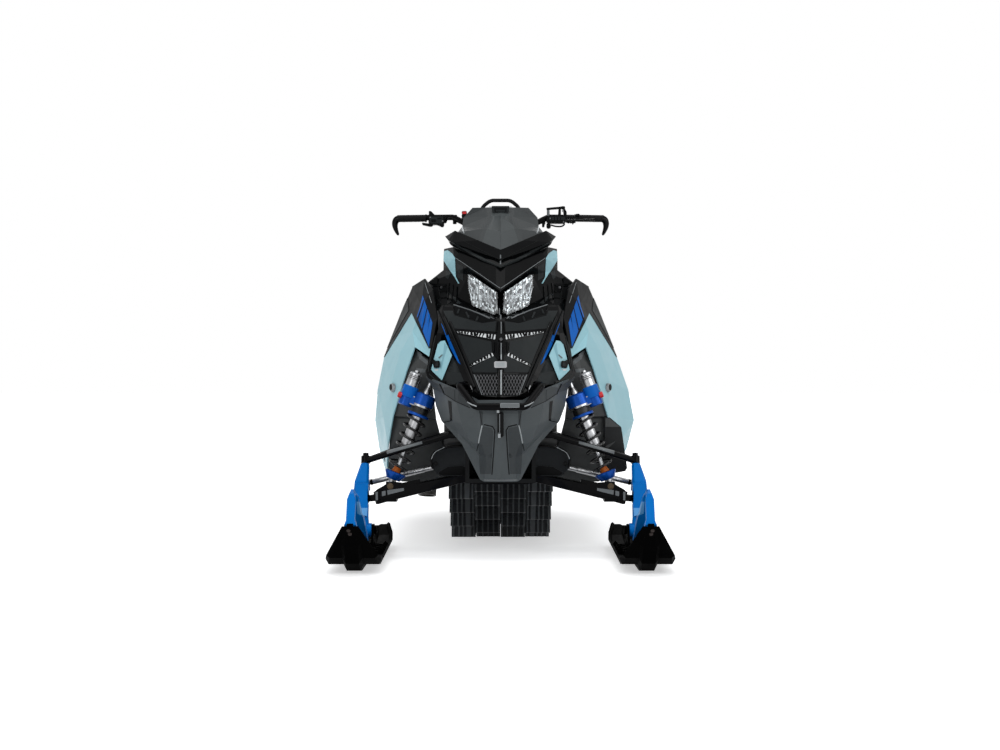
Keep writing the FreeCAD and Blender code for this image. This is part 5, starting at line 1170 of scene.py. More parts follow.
def make_side_panels():
    """The caps with their facets and blocks, a pale edge line and a latch on each panel."""
    side_patches("panel_cap", [
        [(426, 700), (319, 858), (319, 1010), (450, 1010), (450, 700)],
        [(319, 858), (250, 728), (170, 728), (170, 1010), (319, 1010)],
    ], BLACK_SATIN, height=0.0012)
    side_patches("panel_cap_facet", [
        [(418, 728), (330, 868), (338, 922), (352, 905), (450, 760), (450, 728)],
    ], DARK_GREY, height=0.0026)
    blocks = [band_block(start, start + 0.175, 0.05) for start in (0.0, 0.215, 0.43, 0.645)]
    blocks.append(band_block(0.86, 1.0, 0.0))
    side_patches("panel_blocks", blocks, BLUE_BAND, height=0.0018, rear=-0.79)
    for side, side_name in SIDES:
        piece = Piece()
        node = f"side_panel_{side_name}"
        edge = in_steps([(side * 269, 966), (side * 242, 889)])
        piece.tube([touch(node, *at)[0] for at in edge], 0.0016, LIGHT_GREY, sides=BEAD_SIDES)
        place, normal = touch(node, side * 381, 589)
        across = turned_to(normal) @ Vector((1, 0, 0))
        up = normal.cross(across)
        oval = [place + spoke - normal * 0.001 for spoke in around(across * 0.0155, up * 0.025, 20)]
        piece.prism(oval, normal * 0.012, RUBBER, 0.003, taper=0.8)
        tab = ((-0.004, -0.01), (0.004, -0.01), (0.003, 0.03), (-0.003, 0.03))
        piece.prism([place + across * x + up * z for x, z in tab], normal * 0.006, RUBBER, 0.0015)
        piece.finish(f"panel_latch_{side_name}", "chassis", "rubber")


# Lamps: faceted reflectors behind a clear cover

LAMP_COLUMNS = 17
LAMP_OUTLINE = [(112, 984), (98, 980), (12, 918), (9, 852), (24, 844), (98, 878), (112, 942)]


def crossing_range(outline, at):
    """The lowest and highest height of an outline at a place across it."""
    heights = []
    for a, b in zip(outline, outline[1:] + outline[:1]):
        if (a[0] - at) * (b[0] - at) <= 0 and a[0] != b[0]:
            share = (at - a[0]) / (b[0] - a[0])
            heights.append(a[1] + (b[1] - a[1]) * share)
    return min(heights), max(heights)


# A facet: four slopes up to its peak, four sides and a back
FACET_FACES = [(0, 1, 4), (1, 2, 4), (2, 3, 4), (3, 0, 4),
               (0, 5, 6, 1), (1, 6, 7, 2), (2, 7, 8, 3), (3, 8, 5, 0), (8, 7, 6, 5)]


def make_lamps():
    """Each lamp is a mosaic of small bright facets under a thin cover, with two bulb shades."""
    near, far = touch("headlights", 14, 880)[0], touch("headlights", 108, 940)[0]
    slope = (far.y - near.y) / (far.x - near.x)
    draw = random.Random(5)

    def front(x, z, back=0.0):
        return Vector((x * MM, near.y + (x * MM - near.x) * slope + back, z * MM))

    piece = Piece()
    for i in range(LAMP_COLUMNS):
        x0, x1 = (9.5 + (111.5 - 9.5) * (i + k) / LAMP_COLUMNS for k in (0.04, 0.96))
        low0, high0 = crossing_range(LAMP_OUTLINE, x0)
        low1, high1 = crossing_range(LAMP_OUTLINE, x1)
        rows = max(4, round((high0 - low0) / 8))
        for j in range(rows):
            a, b = j / rows, (j + 1) / rows
            corners = [front(x, low + (high - low) * share, 0.006) for x, low, high, share in (
                (x0, low0, high0, a), (x1, low1, high1, a), (x1, low1, high1, b), (x0, low0, high0, b))]
            middle = sum(corners, Vector()) / 4
            peak = middle + Vector((
                draw.uniform(-0.0015, 0.0015), -draw.uniform(0.0005, 0.003), draw.uniform(-0.002, 0.002)
            ))
            base = [corner + Vector((0, 0.003, 0)) for corner in corners]
            look = draw.choices((REFLECTOR, ALLOY, DARK_STEEL), (9, 6, 5))[0]
            piece.add(corners + [peak] + base, FACET_FACES, look)
    piece.prism([front(x, z, 0.010) for x, z in LAMP_OUTLINE], (0, 0.003, 0), BLACK_GLOSS)
    for x, z, radius in ((66, 938, 9), (88, 952, 5)):
        shade = [(0, radius), (3, radius * 0.9), (6, radius * 0.55), (7, 0.5)]
        piece.stepped(front(x, z, 0.006), (0, -1, 0), shade, REFLECTOR, 20)
    piece.mirror()
    piece.finish("lamp_reflectors", "chassis", "lens")
    cover = Piece()
    grown = [(x + (x - 60) * 0.04, z + (z - 912) * 0.04) for x, z in LAMP_OUTLINE]
    cover.prism([front(max(x, 6), z, -0.0015) for x, z in grown], (0, 0.0028, 0), LENS, 0.0008)
    cover.mirror()
    cover.finish("lamp_covers", "chassis", "lens", replaced=["headlights"])


make_side_panels()
make_lamps()


# Controls: grips, throttle, brake and strap collars on the steering, and the gauge pod on the chassis

BAR_Y = -0.41
CONTROLS_Y = BAR_Y - 0.034
SCREW = ((0, 3.0), (1.2, 3.0), (1.8, 2.2))


def frame_line(y, rows):
    """Places of the frame, given as (column, row, distance behind y)."""
    return [at_depth(column, row, y + behind) for column, row, behind in rows]


def make_grips():
    """Ribbed rubber sleeves that end in smooth hooks."""
    piece = Piece()
    ends = (Vector((0.2775, -0.4062, 1.2230)), Vector((0.3800, -0.3942, 1.2224)))
    along = (ends[1] - ends[0]).normalized()
    length = (ends[1] - ends[0]).length
    profile = [(0, 0.0120), (0.001, 0.0150), (0.004, 0.0152), (0.0055, 0.0135)]
    reach = 0.009
    while reach < length - 0.008:
        profile += [(reach, 0.0126), (reach + 0.0008, 0.0136), (reach + 0.0030, 0.0136),
                    (reach + 0.0038, 0.0126)]
        reach += 0.0052
    profile += [(length - 0.003, 0.0130), (length, 0.0130)]
    piece.turned(ends[0], along, profile, RUBBER, 32)
    hook = [ends[1] - along * 0.004] + [ends[1] + Vector(reach) * MM for reach in (
        (5, 0.8, -0.8), (13, 2, -6), (17.5, 3.5, -17.5), (17, 4.5, -31), (12.5, 6, -45.5),
        (6.5, 7.2, -58.5))]
    horn(piece, hook, (0.0133, 0.0134, 0.0130, 0.0118, 0.0100, 0.0076, 0.0050), BLACK_GLOSS)
    piece.mirror()
    piece.finish("grip_sleeves", "steering", "rubber", replaced=["grips"])


HORN_STEPS, HORN_SIDES = 5, 24


def horn(piece, path, radii, material):
    """A round tube whose thickness changes along a smooth line, closed by a domed tip."""
    line = rounded_line(path, HORN_STEPS)
    sizes = []
    for i in range(len(line)):
        at = min(i / HORN_STEPS, len(radii) - 1)
        low = min(int(at), len(radii) - 2)
        sizes.append(radii[low] + (radii[low + 1] - radii[low]) * (at - low))
    ahead = (line[-1] - line[-2]).normalized()
    for share in (0.5, 0.8, 0.97):
        line.append(line[-1] + ahead * radii[-1] * 0.3)
        sizes.append(radii[-1] * math.sqrt(1 - share ** 2))
    piece.tube(line, sizes, material, sides=HORN_SIDES)


def bar_sleeve(piece, columns, row, radius, material, bevel=0.0015):
    """A short round sleeve across the vehicle between two columns of the frame."""
    start, end = (at_depth(column, row, BAR_Y) for column in columns)
    length = (end - start).length
    profile = [(0, radius - bevel), (bevel, radius), (length - bevel, radius), (length, radius - bevel)]
    piece.turned(start, end - start, profile, material, 24)


def make_throttle():
    """The throttle on the right: split housing, thumb lever, fin, window, screws, clamp, red switch."""
    piece = Piece()
    plates(piece, CONTROLS_Y, (
        ([(428.4, 215.4), (443.6, 215.3), (444.8, 216.6), (443.8, 226.0), (439.6, 225.8),
          (436.6, 224.6), (430.4, 224.8), (428.4, 222.8)], 0, 0.040, BLACK_SATIN, 0.0016),
        ([(429.4, 216.4), (442.8, 216.2), (443.4, 217.2), (442.8, 223.8), (431, 223.8), (429.4, 222)],
         -0.003, 0.004, DARK_GREY, 0.0012),
        ([(431.0, 219.4), (435.8, 219.2), (435.8, 222.0), (431.4, 222.2)],
         -0.0042, 0.003, BLACK_GLOSS, 0.0006),
        ([(437.2, 217.6), (441.8, 217.5), (441.6, 219.2), (437.4, 219.3)],
         -0.0042, 0.003, BLACK_SATIN, 0.0006),
        ([(428.8, 211.0), (430.9, 210.9), (435.6, 215.6), (428.8, 215.8)],
         0.006, 0.012, BLACK_SATIN, 0.0012),
        ([(421.9, 222.4), (431.0, 223.8), (433.2, 224.6), (432.8, 226.4), (430.2, 226.8),
          (422.2, 225.0)], 0.004, 0.013, BLACK_SATIN, 0.0020),
    ))
    for column in (424.0, 426.0, 428.0):
        plate(piece, [(column, 223.2), (column + 0.8, 223.3), (column + 0.8, 225.6), (column, 225.4)],
              CONTROLS_Y + 0.0025, 0.003, BLACK_ROUGH, 0.0004)
    plate(piece, [(440.0, 225.4), (443.6, 225.4), (443.6, 227.2), (440.6, 227.0)],
          CONTROLS_Y + 0.004, 0.014, BLACK_SATIN, 0.0012)
    for column, row in ((442.6, 221.2), (430.2, 217.6)):
        piece.stepped(at_depth(column, row, CONTROLS_Y - 0.003), (0, -1, 0), SCREW, DARK_STEEL, 16)
    bar_sleeve(piece, (443.8, 446.2), 219.6, 0.0142, BLACK_SATIN)
    plate(piece, [(452.8, 214.9), (457.0, 214.7), (457.2, 218.0), (453.6, 218.6)],
          BAR_Y - 0.014, 0.024, BLACK_SATIN, 0.0016)
    bar_sleeve(piece, (452.9, 456.6), 220.4, 0.0145, BLACK_SATIN)
    plates(piece, BAR_Y, (
        ([(461.6, 211.0), (466.8, 210.8), (467.0, 214.4), (461.9, 214.6)], -0.020, 0.016, RED, 0.0022),
        ([(461.4, 214.4), (466.6, 214.2), (466.8, 221.0), (462.2, 221.4)],
         -0.022, 0.030, BLACK_SATIN, 0.0018),
    ))
    cable = ((446.0, 222.4, -0.012), (447.2, 219.6, -0.021), (450.0, 217.8, -0.020),
             (454.6, 219.2, -0.018), (459.6, 222.2, -0.012))
    piece.tube(frame_line(BAR_Y, cable), 0.0026, RUBBER, sides=10, smooth=6)
    piece.finish("throttle_block", "steering", "black_plastic", replaced=["hand_controls"])


def make_brake():
    """The brake cylinder on the left: guard bar, window posts, lever, adjuster and parking latch."""
    piece = Piece()
    plates(piece, CONTROLS_Y, (
        ([(547.2, 216.2), (549.4, 215.2), (566.4, 215.4), (567.0, 220.8), (564.4, 223.4),
          (548.4, 223.4), (546.2, 221.6)], 0, 0.042, BLACK_SATIN, 0.0018),
        ([(548.6, 216.6), (565.4, 216.4), (565.6, 220.4), (549.2, 220.8)],
         -0.003, 0.004, DARK_GREY, 0.0012),
    ))
    for column in (551.0, 554.0, 557.0, 560.0):
        plate(piece, [(column, 217.2), (column + 1.0, 217.2), (column + 1.0, 220.0), (column, 220.0)],
              CONTROLS_Y - 0.0042, 0.003, BLACK_GLOSS, 0.0005)
    plates(piece, CONTROLS_Y, (
        ([(546.4, 207.8), (559.0, 206.7), (563.6, 206.0), (565.2, 206.6), (565.0, 209.2),
          (560.0, 209.0), (546.6, 210.0)], 0.004, 0.012, BLACK_SATIN, 0.0014),
        ([(546.9, 209.0), (549.5, 209.0), (549.7, 215.8), (546.9, 216.2)],
         0.006, 0.010, MID_GREY, 0.0012),
        ([(558.6, 208.4), (561.0, 208.2), (561.0, 215.8), (558.0, 215.8)],
         0.005, 0.012, BLACK_SATIN, 0.0012),
        ([(563.0, 208.2), (564.8, 208.4), (566.8, 212.0), (566.6, 216.0), (563.6, 215.8)],
         0.007, 0.010, BLACK_SATIN, 0.0012),
        ([(562.0, 209.4), (562.9, 209.3), (563.0, 212.0), (562.1, 212.0)],
         0.004, 0.003, LIGHT_GREY, 0.0004),
        ([(546.6, 223.2), (550.6, 223.2), (550.9, 227.4), (549.9, 228.6), (547.2, 228.6),
          (546.4, 227.2)], 0.006, 0.018, BLACK_SATIN, 0.0020),
    ))
    lever = ((551.0, 225.2, 0), (556.0, 226.4, -0.004), (561.4, 226.4, -0.006), (564.2, 224.6, -0.004),
             (563.6, 223.0, 0.004))
    piece.tube(frame_line(CONTROLS_Y, lever), 0.0030, BLACK_SATIN, sides=12, smooth=6)
    hand_lever = ((565.2, 220.2, -0.003), (575.0, 220.4, -0.016), (588.0, 220.0, -0.024),
                  (594.5, 219.4, -0.022))
    piece.tube(frame_line(CONTROLS_Y, hand_lever), 0.0052, BLACK_GLOSS, sides=14, smooth=6, squash=0.7)
    for column, row in ((550.4, 218.6), (563.6, 222.0)):
        piece.stepped(at_depth(column, row, CONTROLS_Y - 0.002), (0, -1, 0), SCREW, DARK_STEEL, 16)
    bar_sleeve(piece, (541.8, 545.4), 220.6, 0.0145, BLACK_SATIN)
    plate(piece, [(541.9, 222.0), (545.2, 221.8), (544.4, 227.0), (542.2, 227.2)],
          BAR_Y - 0.014, 0.022, BLACK_SATIN, 0.0016)
    bar_sleeve(piece, (566.2, 575.6), 219.2, 0.0150, BLACK_SATIN)
    for column in (568.0, 570.4, 572.8):
        bar_sleeve(piece, (column, column + 1.1), 219.2, 0.0166, BLACK_ROUGH, bevel=0.0006)
    plates(piece, BAR_Y, (
        ([(575.8, 213.8), (579.6, 213.7), (579.8, 215.9), (575.4, 216.1)],
         -0.014, 0.018, BLACK_SATIN, 0.0012),
        ([(572.0, 222.2), (573.6, 222.2), (573.3, 224.4), (572.3, 224.4)],
         -0.010, 0.012, BLACK_SATIN, 0.0008),
    ))
    piece.finish("brake_cylinder", "steering", "black_plastic")


def make_strap_collars():
    """Two dark collars round each foot of the grab strap."""
    piece = Piece()
    for side in (LEFT, RIGHT):
        foot = Vector((side * 0.047, -0.425, 1.168))
        ahead = Vector((side * 0.034, -0.006, 0.070)).normalized()
        for low in (0.018, 0.028):
            piece.stepped(foot + ahead * low, ahead, [(0, 7.2), (0.8, 8.6), (5.2, 8.6), (6, 7.2)],
                          BLACK_GLOSS, 20)
    piece.finish("strap_collars", "steering", "rubber")


def make_gauge():
    """The gauge pod behind the windshield, with its face and two light marks."""
    piece = Piece()
    outline = [(491.2, 205.9), (509.8, 205.9), (508.4, 212.8), (506.6, 214.6), (494.4, 214.6),
               (492.6, 212.8)]
    front = spot("windshield", 500.5, 212.0)[0].y - 0.004
    plates(piece, front, (
        (outline, 0, 0.010, DARK_GREY, 0.002),
        ([(493.6, 207.4), (507.4, 207.4), (506.4, 212.4), (494.6, 212.4)],
         -0.0015, 0.003, BLACK_SATIN, 0.001),
        ([(495.6, 209.8), (505.4, 209.8), (504.8, 211.8), (496.2, 211.8)],
         -0.0025, 0.003, DARK_GREY, 0.0006),
    ))
    for column in (490.0, 511.0):
        plate(piece, band((column, 206.0), (column, 208.0), 0.9),
              front + 0.001, 0.003, LIGHT_GREY, 0.0003)
    piece.finish("gauge_pod", "chassis", "black_plastic")


make_grips()
make_throttle()
make_brake()
make_strap_collars()
make_gauge()


# Front: windshield, visor, cowl, window brackets, nose, bumper, arch liners, arms and spindles

# Distances along the vehicle of what stands free behind or before a panel
FIN_Y = -0.775
# Where the dark sheets behind the panels stand; their lower part is painted shade
PANEL_GAP_BACK_AND_SHADE_Y = -0.822
ARCH_Y = -0.952
ARM_PLATE_Y = -0.986
SKIRT_Y = -0.792
GUARD_Y = -0.8295
TIE_OUTER, TIE_INNER = Vector((0.472, -0.832, 0.2533)), Vector((0.118, -0.876, 0.3383))


def make_screen():
    """A lighter facet of painted light down the middle of the windshield, and the pale strips at its
    lower corners.
    """
    laid("screen_painted_light_facet", "windshield", [
        [(493.0, 208.6), (500.5, 208.2), (500.5, 250.0), (481.5, 245.5)],
    ], SCREEN_PAINTED_LIGHT, height=0.0007)
    laid("screen_strips", "windshield", [band((460.9, 222.6), (464.0, 233.6), 1.6, 1.2)],
         LIGHT_GREY, height=0.0012)


def make_visor_trim():
    """Bands along the visor, its lip, the clips in the middle, and a painted highlight along the foot
    of the brow under it.
    """
    laid("visor_lip", "visor", [
        [(452.0, 242.0), (500.5, 266.6), (500.5, 270.8), (452.8, 244.0)],
    ], DARK_GREY, height=0.001)
    piece = Piece()
    seam(piece, "visor", ((463.6, 241.2), (482.0, 250.6), (500.4, 260.0)),
         0.0012, BLACK_SATIN, lift=0.0006)
    seam(piece, "visor", ((445.8, 236.4), (452.2, 243.0)), 0.0014, DARK_GREY, lift=0.0005)
    for low, high in ((254.4, 259.4), (260.6, 266.4)):
        place = spot("visor", 500.5, (low + high) / 2)[0]
        piece.box(place - Vector((0, 0.0008, 0)), (0.0055, 0.004, (high - low) * 0.0034),
                  MID_GREY, 0.0008)
    piece.finish("visor_clips", "chassis", "grey_plastic")
    # A mid grey bead along the lower edge of the brow: a painted highlight
    brow_highlight_piece = Piece()
    for node in ("visor", "hood"):
        seam(brow_highlight_piece, node, ((455.8, 258.2), (478.0, 273.2), (500.2, 288.6)),
             0.0013, MID_GREY, lift=0.0012)
    brow_highlight_piece.finish("brow_painted_highlight", "chassis", "grey_plastic")


def make_cowl():
    """Teal corners beside the visor, grey facets and the open intakes behind the lamps."""
    laid("cowl_teal", "hood", [
        [(444.4, 251.2), (448.0, 250.3), (452.3, 253.4), (455.1, 258.1), (456.1, 279.5),
         (443.7, 260.3)],
        [(454.2, 276.2), (456.1, 277.2), (459.6, 283.6), (458.4, 283.6)],
    ], TEAL, height=0.0014, rim=0.0005)
    laid("cowl_facets", "hood", [
        [(446.4, 269.4), (450.9, 272.6), (448.2, 279.4), (445.6, 277.4)],
        [(457.2, 263.0), (463.2, 266.2), (463.4, 281.0), (457.6, 277.2)],
        [(447.5, 291.4), (452.4, 295.6), (462.0, 303.2), (457.2, 303.8)],
    ], DARK_GREY, height=0.0009)
    laid("cowl_intakes", "hood", [
        [(432.2, 283.6), (446.6, 283.6), (447.4, 305.4), (437.8, 305.0), (434.2, 297.0)],
    ], BLACK_ROUGH, height=0.0006)
    ribs = Piece()
    seams(ribs, "hood", (
        (((449.2, 283.2), (447.6, 299.0)), 0.0030, BLACK_GLOSS),
        (((453.2, 284.6), (451.8, 300.4)), 0.0026, BLACK_SATIN),
        (((457.4, 286.6), (456.4, 302.4)), 0.0022, BLACK_GLOSS),
        (((433.4, 286.0), (446.2, 285.6)), 0.0028, BLACK_SATIN),
        (((434.0, 292.6), (446.6, 291.6)), 0.0022, BLACK_GLOSS),
        (((436.0, 299.0), (446.8, 297.8)), 0.0022, BLACK_GLOSS),
        (((438.6, 285.0), (440.8, 304.0)), 0.0024, BLACK_SATIN),
    ), lift=0.0018)
    for at in ((433.8, 288.6), (441.6, 287.4), (436.8, 295.4)):
        for way in ([at], other_side([at])):
            place, normal = spot("hood", *way[0])
            if place:
                ribs.bolt(place, normal, 0.0045, DARK_STEEL)
    ribs.finish("cowl_ribs", "chassis", "black_plastic")
    mirrored_plates("cowl_fins", "black_plastic", FIN_Y, [
        ([(430.6, 283.4), (430.9, 281.2), (436.8, 276.6), (437.6, 277.4), (437.6, 284.4)],
         0, 0.012, BLACK_SATIN, 0.0015),
    ])


def in_bracket(column, row, lift=0.0):
    """A place on the window bracket's slanting plane."""
    return at_depth(column, row, -0.958 - (column - 431) * 0.0024 - (row - 345) * 0.0006 - lift)


def make_brackets():
    """The black frame beside each hood edge with painted highlight lines along it, its teal window with
    a facet of painted shade and a painted highlight under the latch, the latch on it, and dark sheets
    behind the panels, partly painted shade.
    """
    def sheets(piece, rows):
        for outline, lift, depth, material, bevel in rows:
            piece.prism([in_bracket(*corner, lift) for corner in outline], (0, depth, 0),
                        material, bevel)

    frames = Piece()
    sheets(frames, (
        ([(437.4, 332.6), (442.2, 333.6), (441.0, 340.6), (436.8, 344.6), (433.4, 356.0),
          (430.4, 368.8), (434.0, 373.6), (441.8, 380.4), (446.6, 381.0), (443.2, 387.0),
          (437.0, 383.6), (427.6, 377.8), (425.8, 372.0), (428.0, 363.4), (430.6, 347.6)],
         0.006, 0.012, BLACK_GLOSS, 0.0018),
    ))
    # The dark grey tubes along the frame are painted highlight lines
    lines = (((435.6, 335.6), (433.0, 348.4), (428.9, 366.0), (428.4, 371.6)),
             ((429.2, 374.0), (434.6, 379.0), (441.2, 383.4)))
    for line in lines:
        frames.tube([in_bracket(*at, 0.0065) for at in line], 0.0018, DARK_GREY, sides=10)
    frames.mirror()
    frames.finish("window_frames", "chassis", "black_gloss")
    window = Piece()
    sheets(window, (
        ([(440.2, 341.2), (444.8, 340.4), (452.0, 355.4), (442.0, 380.6), (431.0, 370.0),
          (434.6, 356.0), (437.6, 344.4)], 0.003, 0.006, TEAL, 0.0008),
        # This facet is painted shade: the window's teal, darker
        ([(444.4, 342.4), (447.6, 347.0), (444.4, 357.0), (441.0, 371.2), (439.8, 367.2),
          (443.0, 354.8)], 0.0036, 0.004, TEAL_PAINTED_SHADE, 0.0004),
        # A white sliver under the latch: a painted highlight
        ([(434.2, 369.2), (438.8, 369.0), (437.8, 370.6), (434.8, 370.6)],
         0.0038, 0.004, WHITE_TRIM, 0.0003),
    ))
    window.mirror()
    window.finish("windows", "chassis", "teal_plastic")
    latch = Piece()
    sheets(latch, (
        ([(432.6, 359.4), (434.6, 359.8), (435.4, 361.0), (439.2, 360.6), (440.1, 363.4),
          (439.4, 367.8), (434.0, 368.2), (433.2, 365.2), (432.0, 362.4)],
         0.012, 0.010, BLACK_SATIN, 0.0016),
        ([(435.6, 362.2), (438.6, 362.0), (438.8, 366.4), (434.6, 366.8)],
         0.0145, 0.004, DARK_GREY, 0.0010),
        ([(438.4, 357.4), (442.2, 354.2), (442.8, 355.0), (439.0, 358.6)],
         0.0055, 0.004, MID_GREY, 0.0006),
    ))
    latch.mirror()
    latch.finish("window_latches", "chassis", "rubber")
    # Dark sheets behind the panels: black structure in the upper gap, painted shade in the gap by the
    # fender
    mirrored_plates("panel_gap_backs_and_shade", "black_plastic", PANEL_GAP_BACK_AND_SHADE_Y, [
        ([(431.0, 287.0), (437.6, 287.0), (444.0, 330.0), (440.0, 372.0), (433.0, 380.0),
          (420.0, 381.0), (409.0, 372.0), (412.6, 349.0), (416.4, 344.6), (428.0, 349.0),
          (431.0, 330.0)], 0, 0.004, BLACK_ROUGH, 0),
    ])


def make_nose():
    """Plates and facets of the nose cover in painted shade, slots, creases with a painted highlight
    beside one, and the middle post and clips of the nose cover.
    """
    # The plates and facets in the darker nose grey are painted shade
    laid("nose_plates", "nose_cover", [
        [(426.2, 377.4), (439.4, 385.4), (444.2, 393.0), (427.6, 387.4)],
        [(441.8, 382.6), (449.6, 386.8), (454.8, 386.2), (455.0, 400.4), (444.8, 393.6)],
    ], NOSE_PAINTED_SHADE, height=0.0016, rim=0.0008)
    laid("nose_slots", "nose_cover", [
        [(448.2, 400.5), (451.4, 401.6), (452.3, 420.6), (450.4, 420.8)],
    ], BLACK_GLOSS, height=0.0008)
    laid("nose_painted_shade_facets", "nose_cover", [
        [(455.2, 388.0), (457.4, 388.6), (469.8, 407.4), (455.4, 401.0)],
        [(479.8, 411.2), (482.8, 411.4), (482.4, 424.0), (480.6, 430.0)],
        [(483.2, 426.4), (491.6, 427.8), (493.2, 431.6), (490.8, 474.0), (480.2, 474.0),
         (478.4, 446.0)],
    ], NOSE_PAINTED_SHADE, height=0.0005)
    lines = Piece()
    seams(lines, "nose_cover", (
        (((439.8, 383.8), (444.6, 394.0)), 0.0028, BLACK_GLOSS),
        (((450.6, 420.8), (443.8, 422.2)), 0.0012, BLACK_GLOSS),
        (((444.4, 393.8), (455.2, 401.2), (470.0, 407.8)), 0.0012, FRAME_BLACK),
        (((479.6, 411.0), (482.2, 424.6)), 0.0010, FRAME_BLACK),
        # The light grey bead is a painted highlight
        (((482.2, 425.4), (480.2, 434.0), (478.6, 443.0)), 0.0021, LIGHT_GREY),
        (((478.4, 443.8), (476.8, 450.6)), 0.0014, BLACK_SATIN),
        (((484.0, 424.6), (492.6, 426.6), (494.8, 430.4), (493.6, 452.0), (491.9, 474.4)),
         0.0017, BLACK_SATIN),
        (((484.0, 479.9), (500.5, 480.1)), 0.0022, MID_GREY),
    ), lift=0.0004)
    lines.finish("nose_creases_and_highlight", "chassis", "black_plastic")
    post = Piece()
    foot, head = spot("nose_cover", 500.5, 436.6)[0], spot("nose_cover", 500.5, 412.0)[0]
    middle = (foot + head) / 2
    turn, tall = turned_to(head - foot), (head - foot).length
    post.box(middle - Vector((0, 0.008, 0)), (0.021, 0.022, tall), BLACK_GLOSS, 0.003, turn)
    post.box(middle - Vector((0.003, 0.0205, 0)), (0.0045, 0.004, tall * 0.86), MID_GREY, 0.0008, turn)
    for column, row, high in ((498.0, 411.0, 0.013), (499.2, 435.4, 0.018)):
        place = spot("nose_cover", column, row)[0]
        post.box(place - Vector((0, 0.0215, 0)), (0.012, 0.008, high), LIGHT_GREY, 0.0016, turn)
    post.finish("nose_post", "chassis", "black_gloss")


def make_bumper_trim():
    """Painted highlights on the bends, a dark line along the middle and a blank plate on the front
    bumper.
    """
    piece = Piece()
    # The light and mid grey beads on the bends are painted highlights
    seam(piece, "front_bumper", ((467.4, 402.0), (471.6, 404.6), (476.6, 406.4)),
         0.0020, LIGHT_GREY, lift=-0.0006)
    seam(piece, "front_bumper", ((457.2, 391.4), (461.6, 398.4)), 0.0012, MID_GREY, lift=-0.0002)
    seam(piece, "front_bumper", ((478.0, 401.8), (500.5, 402.6)), 0.0011, DARK_GREY, lift=0.0)
    place = spot("front_bumper", 509.8, 405.4)[0]
    piece.box(place - Vector((0, 0.0006, 0)), (0.064, 0.006, 0.015), MID_GREY, 0.0012)
    piece.finish("bumper_trim", "chassis", "steel")


def make_arches():
    """Dark domed liners between the arms, each with a black rim tube, a painted highlight along part of
    the rim, a bolt and a lower shelf.
    """
    piece = Piece()
    dome = [(440.0, 476.4), (431.6, 467.6), (431.2, 459.8), (435.3, 452.6), (445.5, 447.5),
            (462.9, 446.5), (471.0, 454.5), (477.1, 469.8), (478.6, 475.6)]
    middle = (455.0, 463.0)
    points = []
    for size, reach in ((1.0, 0.0), (0.86, 0.0128), (0.6, 0.0208), (0.3, 0.024)):
        points += [at_depth(*between(middle, corner, size), ARCH_Y + reach) for corner in dome]
    faces = ring_faces(4, len(dome))
    del faces[-2]
    piece.add(points, faces, LINER_GREY)
    plate(piece, dome, ARCH_Y + 0.026, 0.003, BLACK_ROUGH, 0)
    rim = ((432.6, 468.0), (431.2, 459.6), (434.6, 452.8), (444.5, 447.6), (463.0, 446.4),
           (471.0, 454.5), (477.0, 469.6))
    piece.tube([at_depth(*at, ARCH_Y) for at in rim], 0.0042, BLACK_GLOSS, sides=12, smooth=4)
    # A light grey tube in front of part of the rim: a painted highlight
    bright = ((431.4, 459.0), (435.0, 452.4), (444.5, 447.3))
    piece.tube([at_depth(*at, ARCH_Y - 0.0032) for at in bright], 0.0016, LIGHT_GREY, sides=8, smooth=4)
    piece.bolt(at_depth(435.6, 463.4, ARCH_Y + 0.010), (0, -1, 0), 0.0055, BLACK_GLOSS)
    plate(piece, [(436.0, 473.6), (448.0, 466.6), (462.0, 465.4), (476.0, 472.0), (470.0, 475.4),
                  (446.0, 476.2)], ARCH_Y + 0.012, -0.006, BLACK_SATIN, 0.001)
    piece.mirror()
    piece.finish("arch_liners", "chassis", "black_plastic")


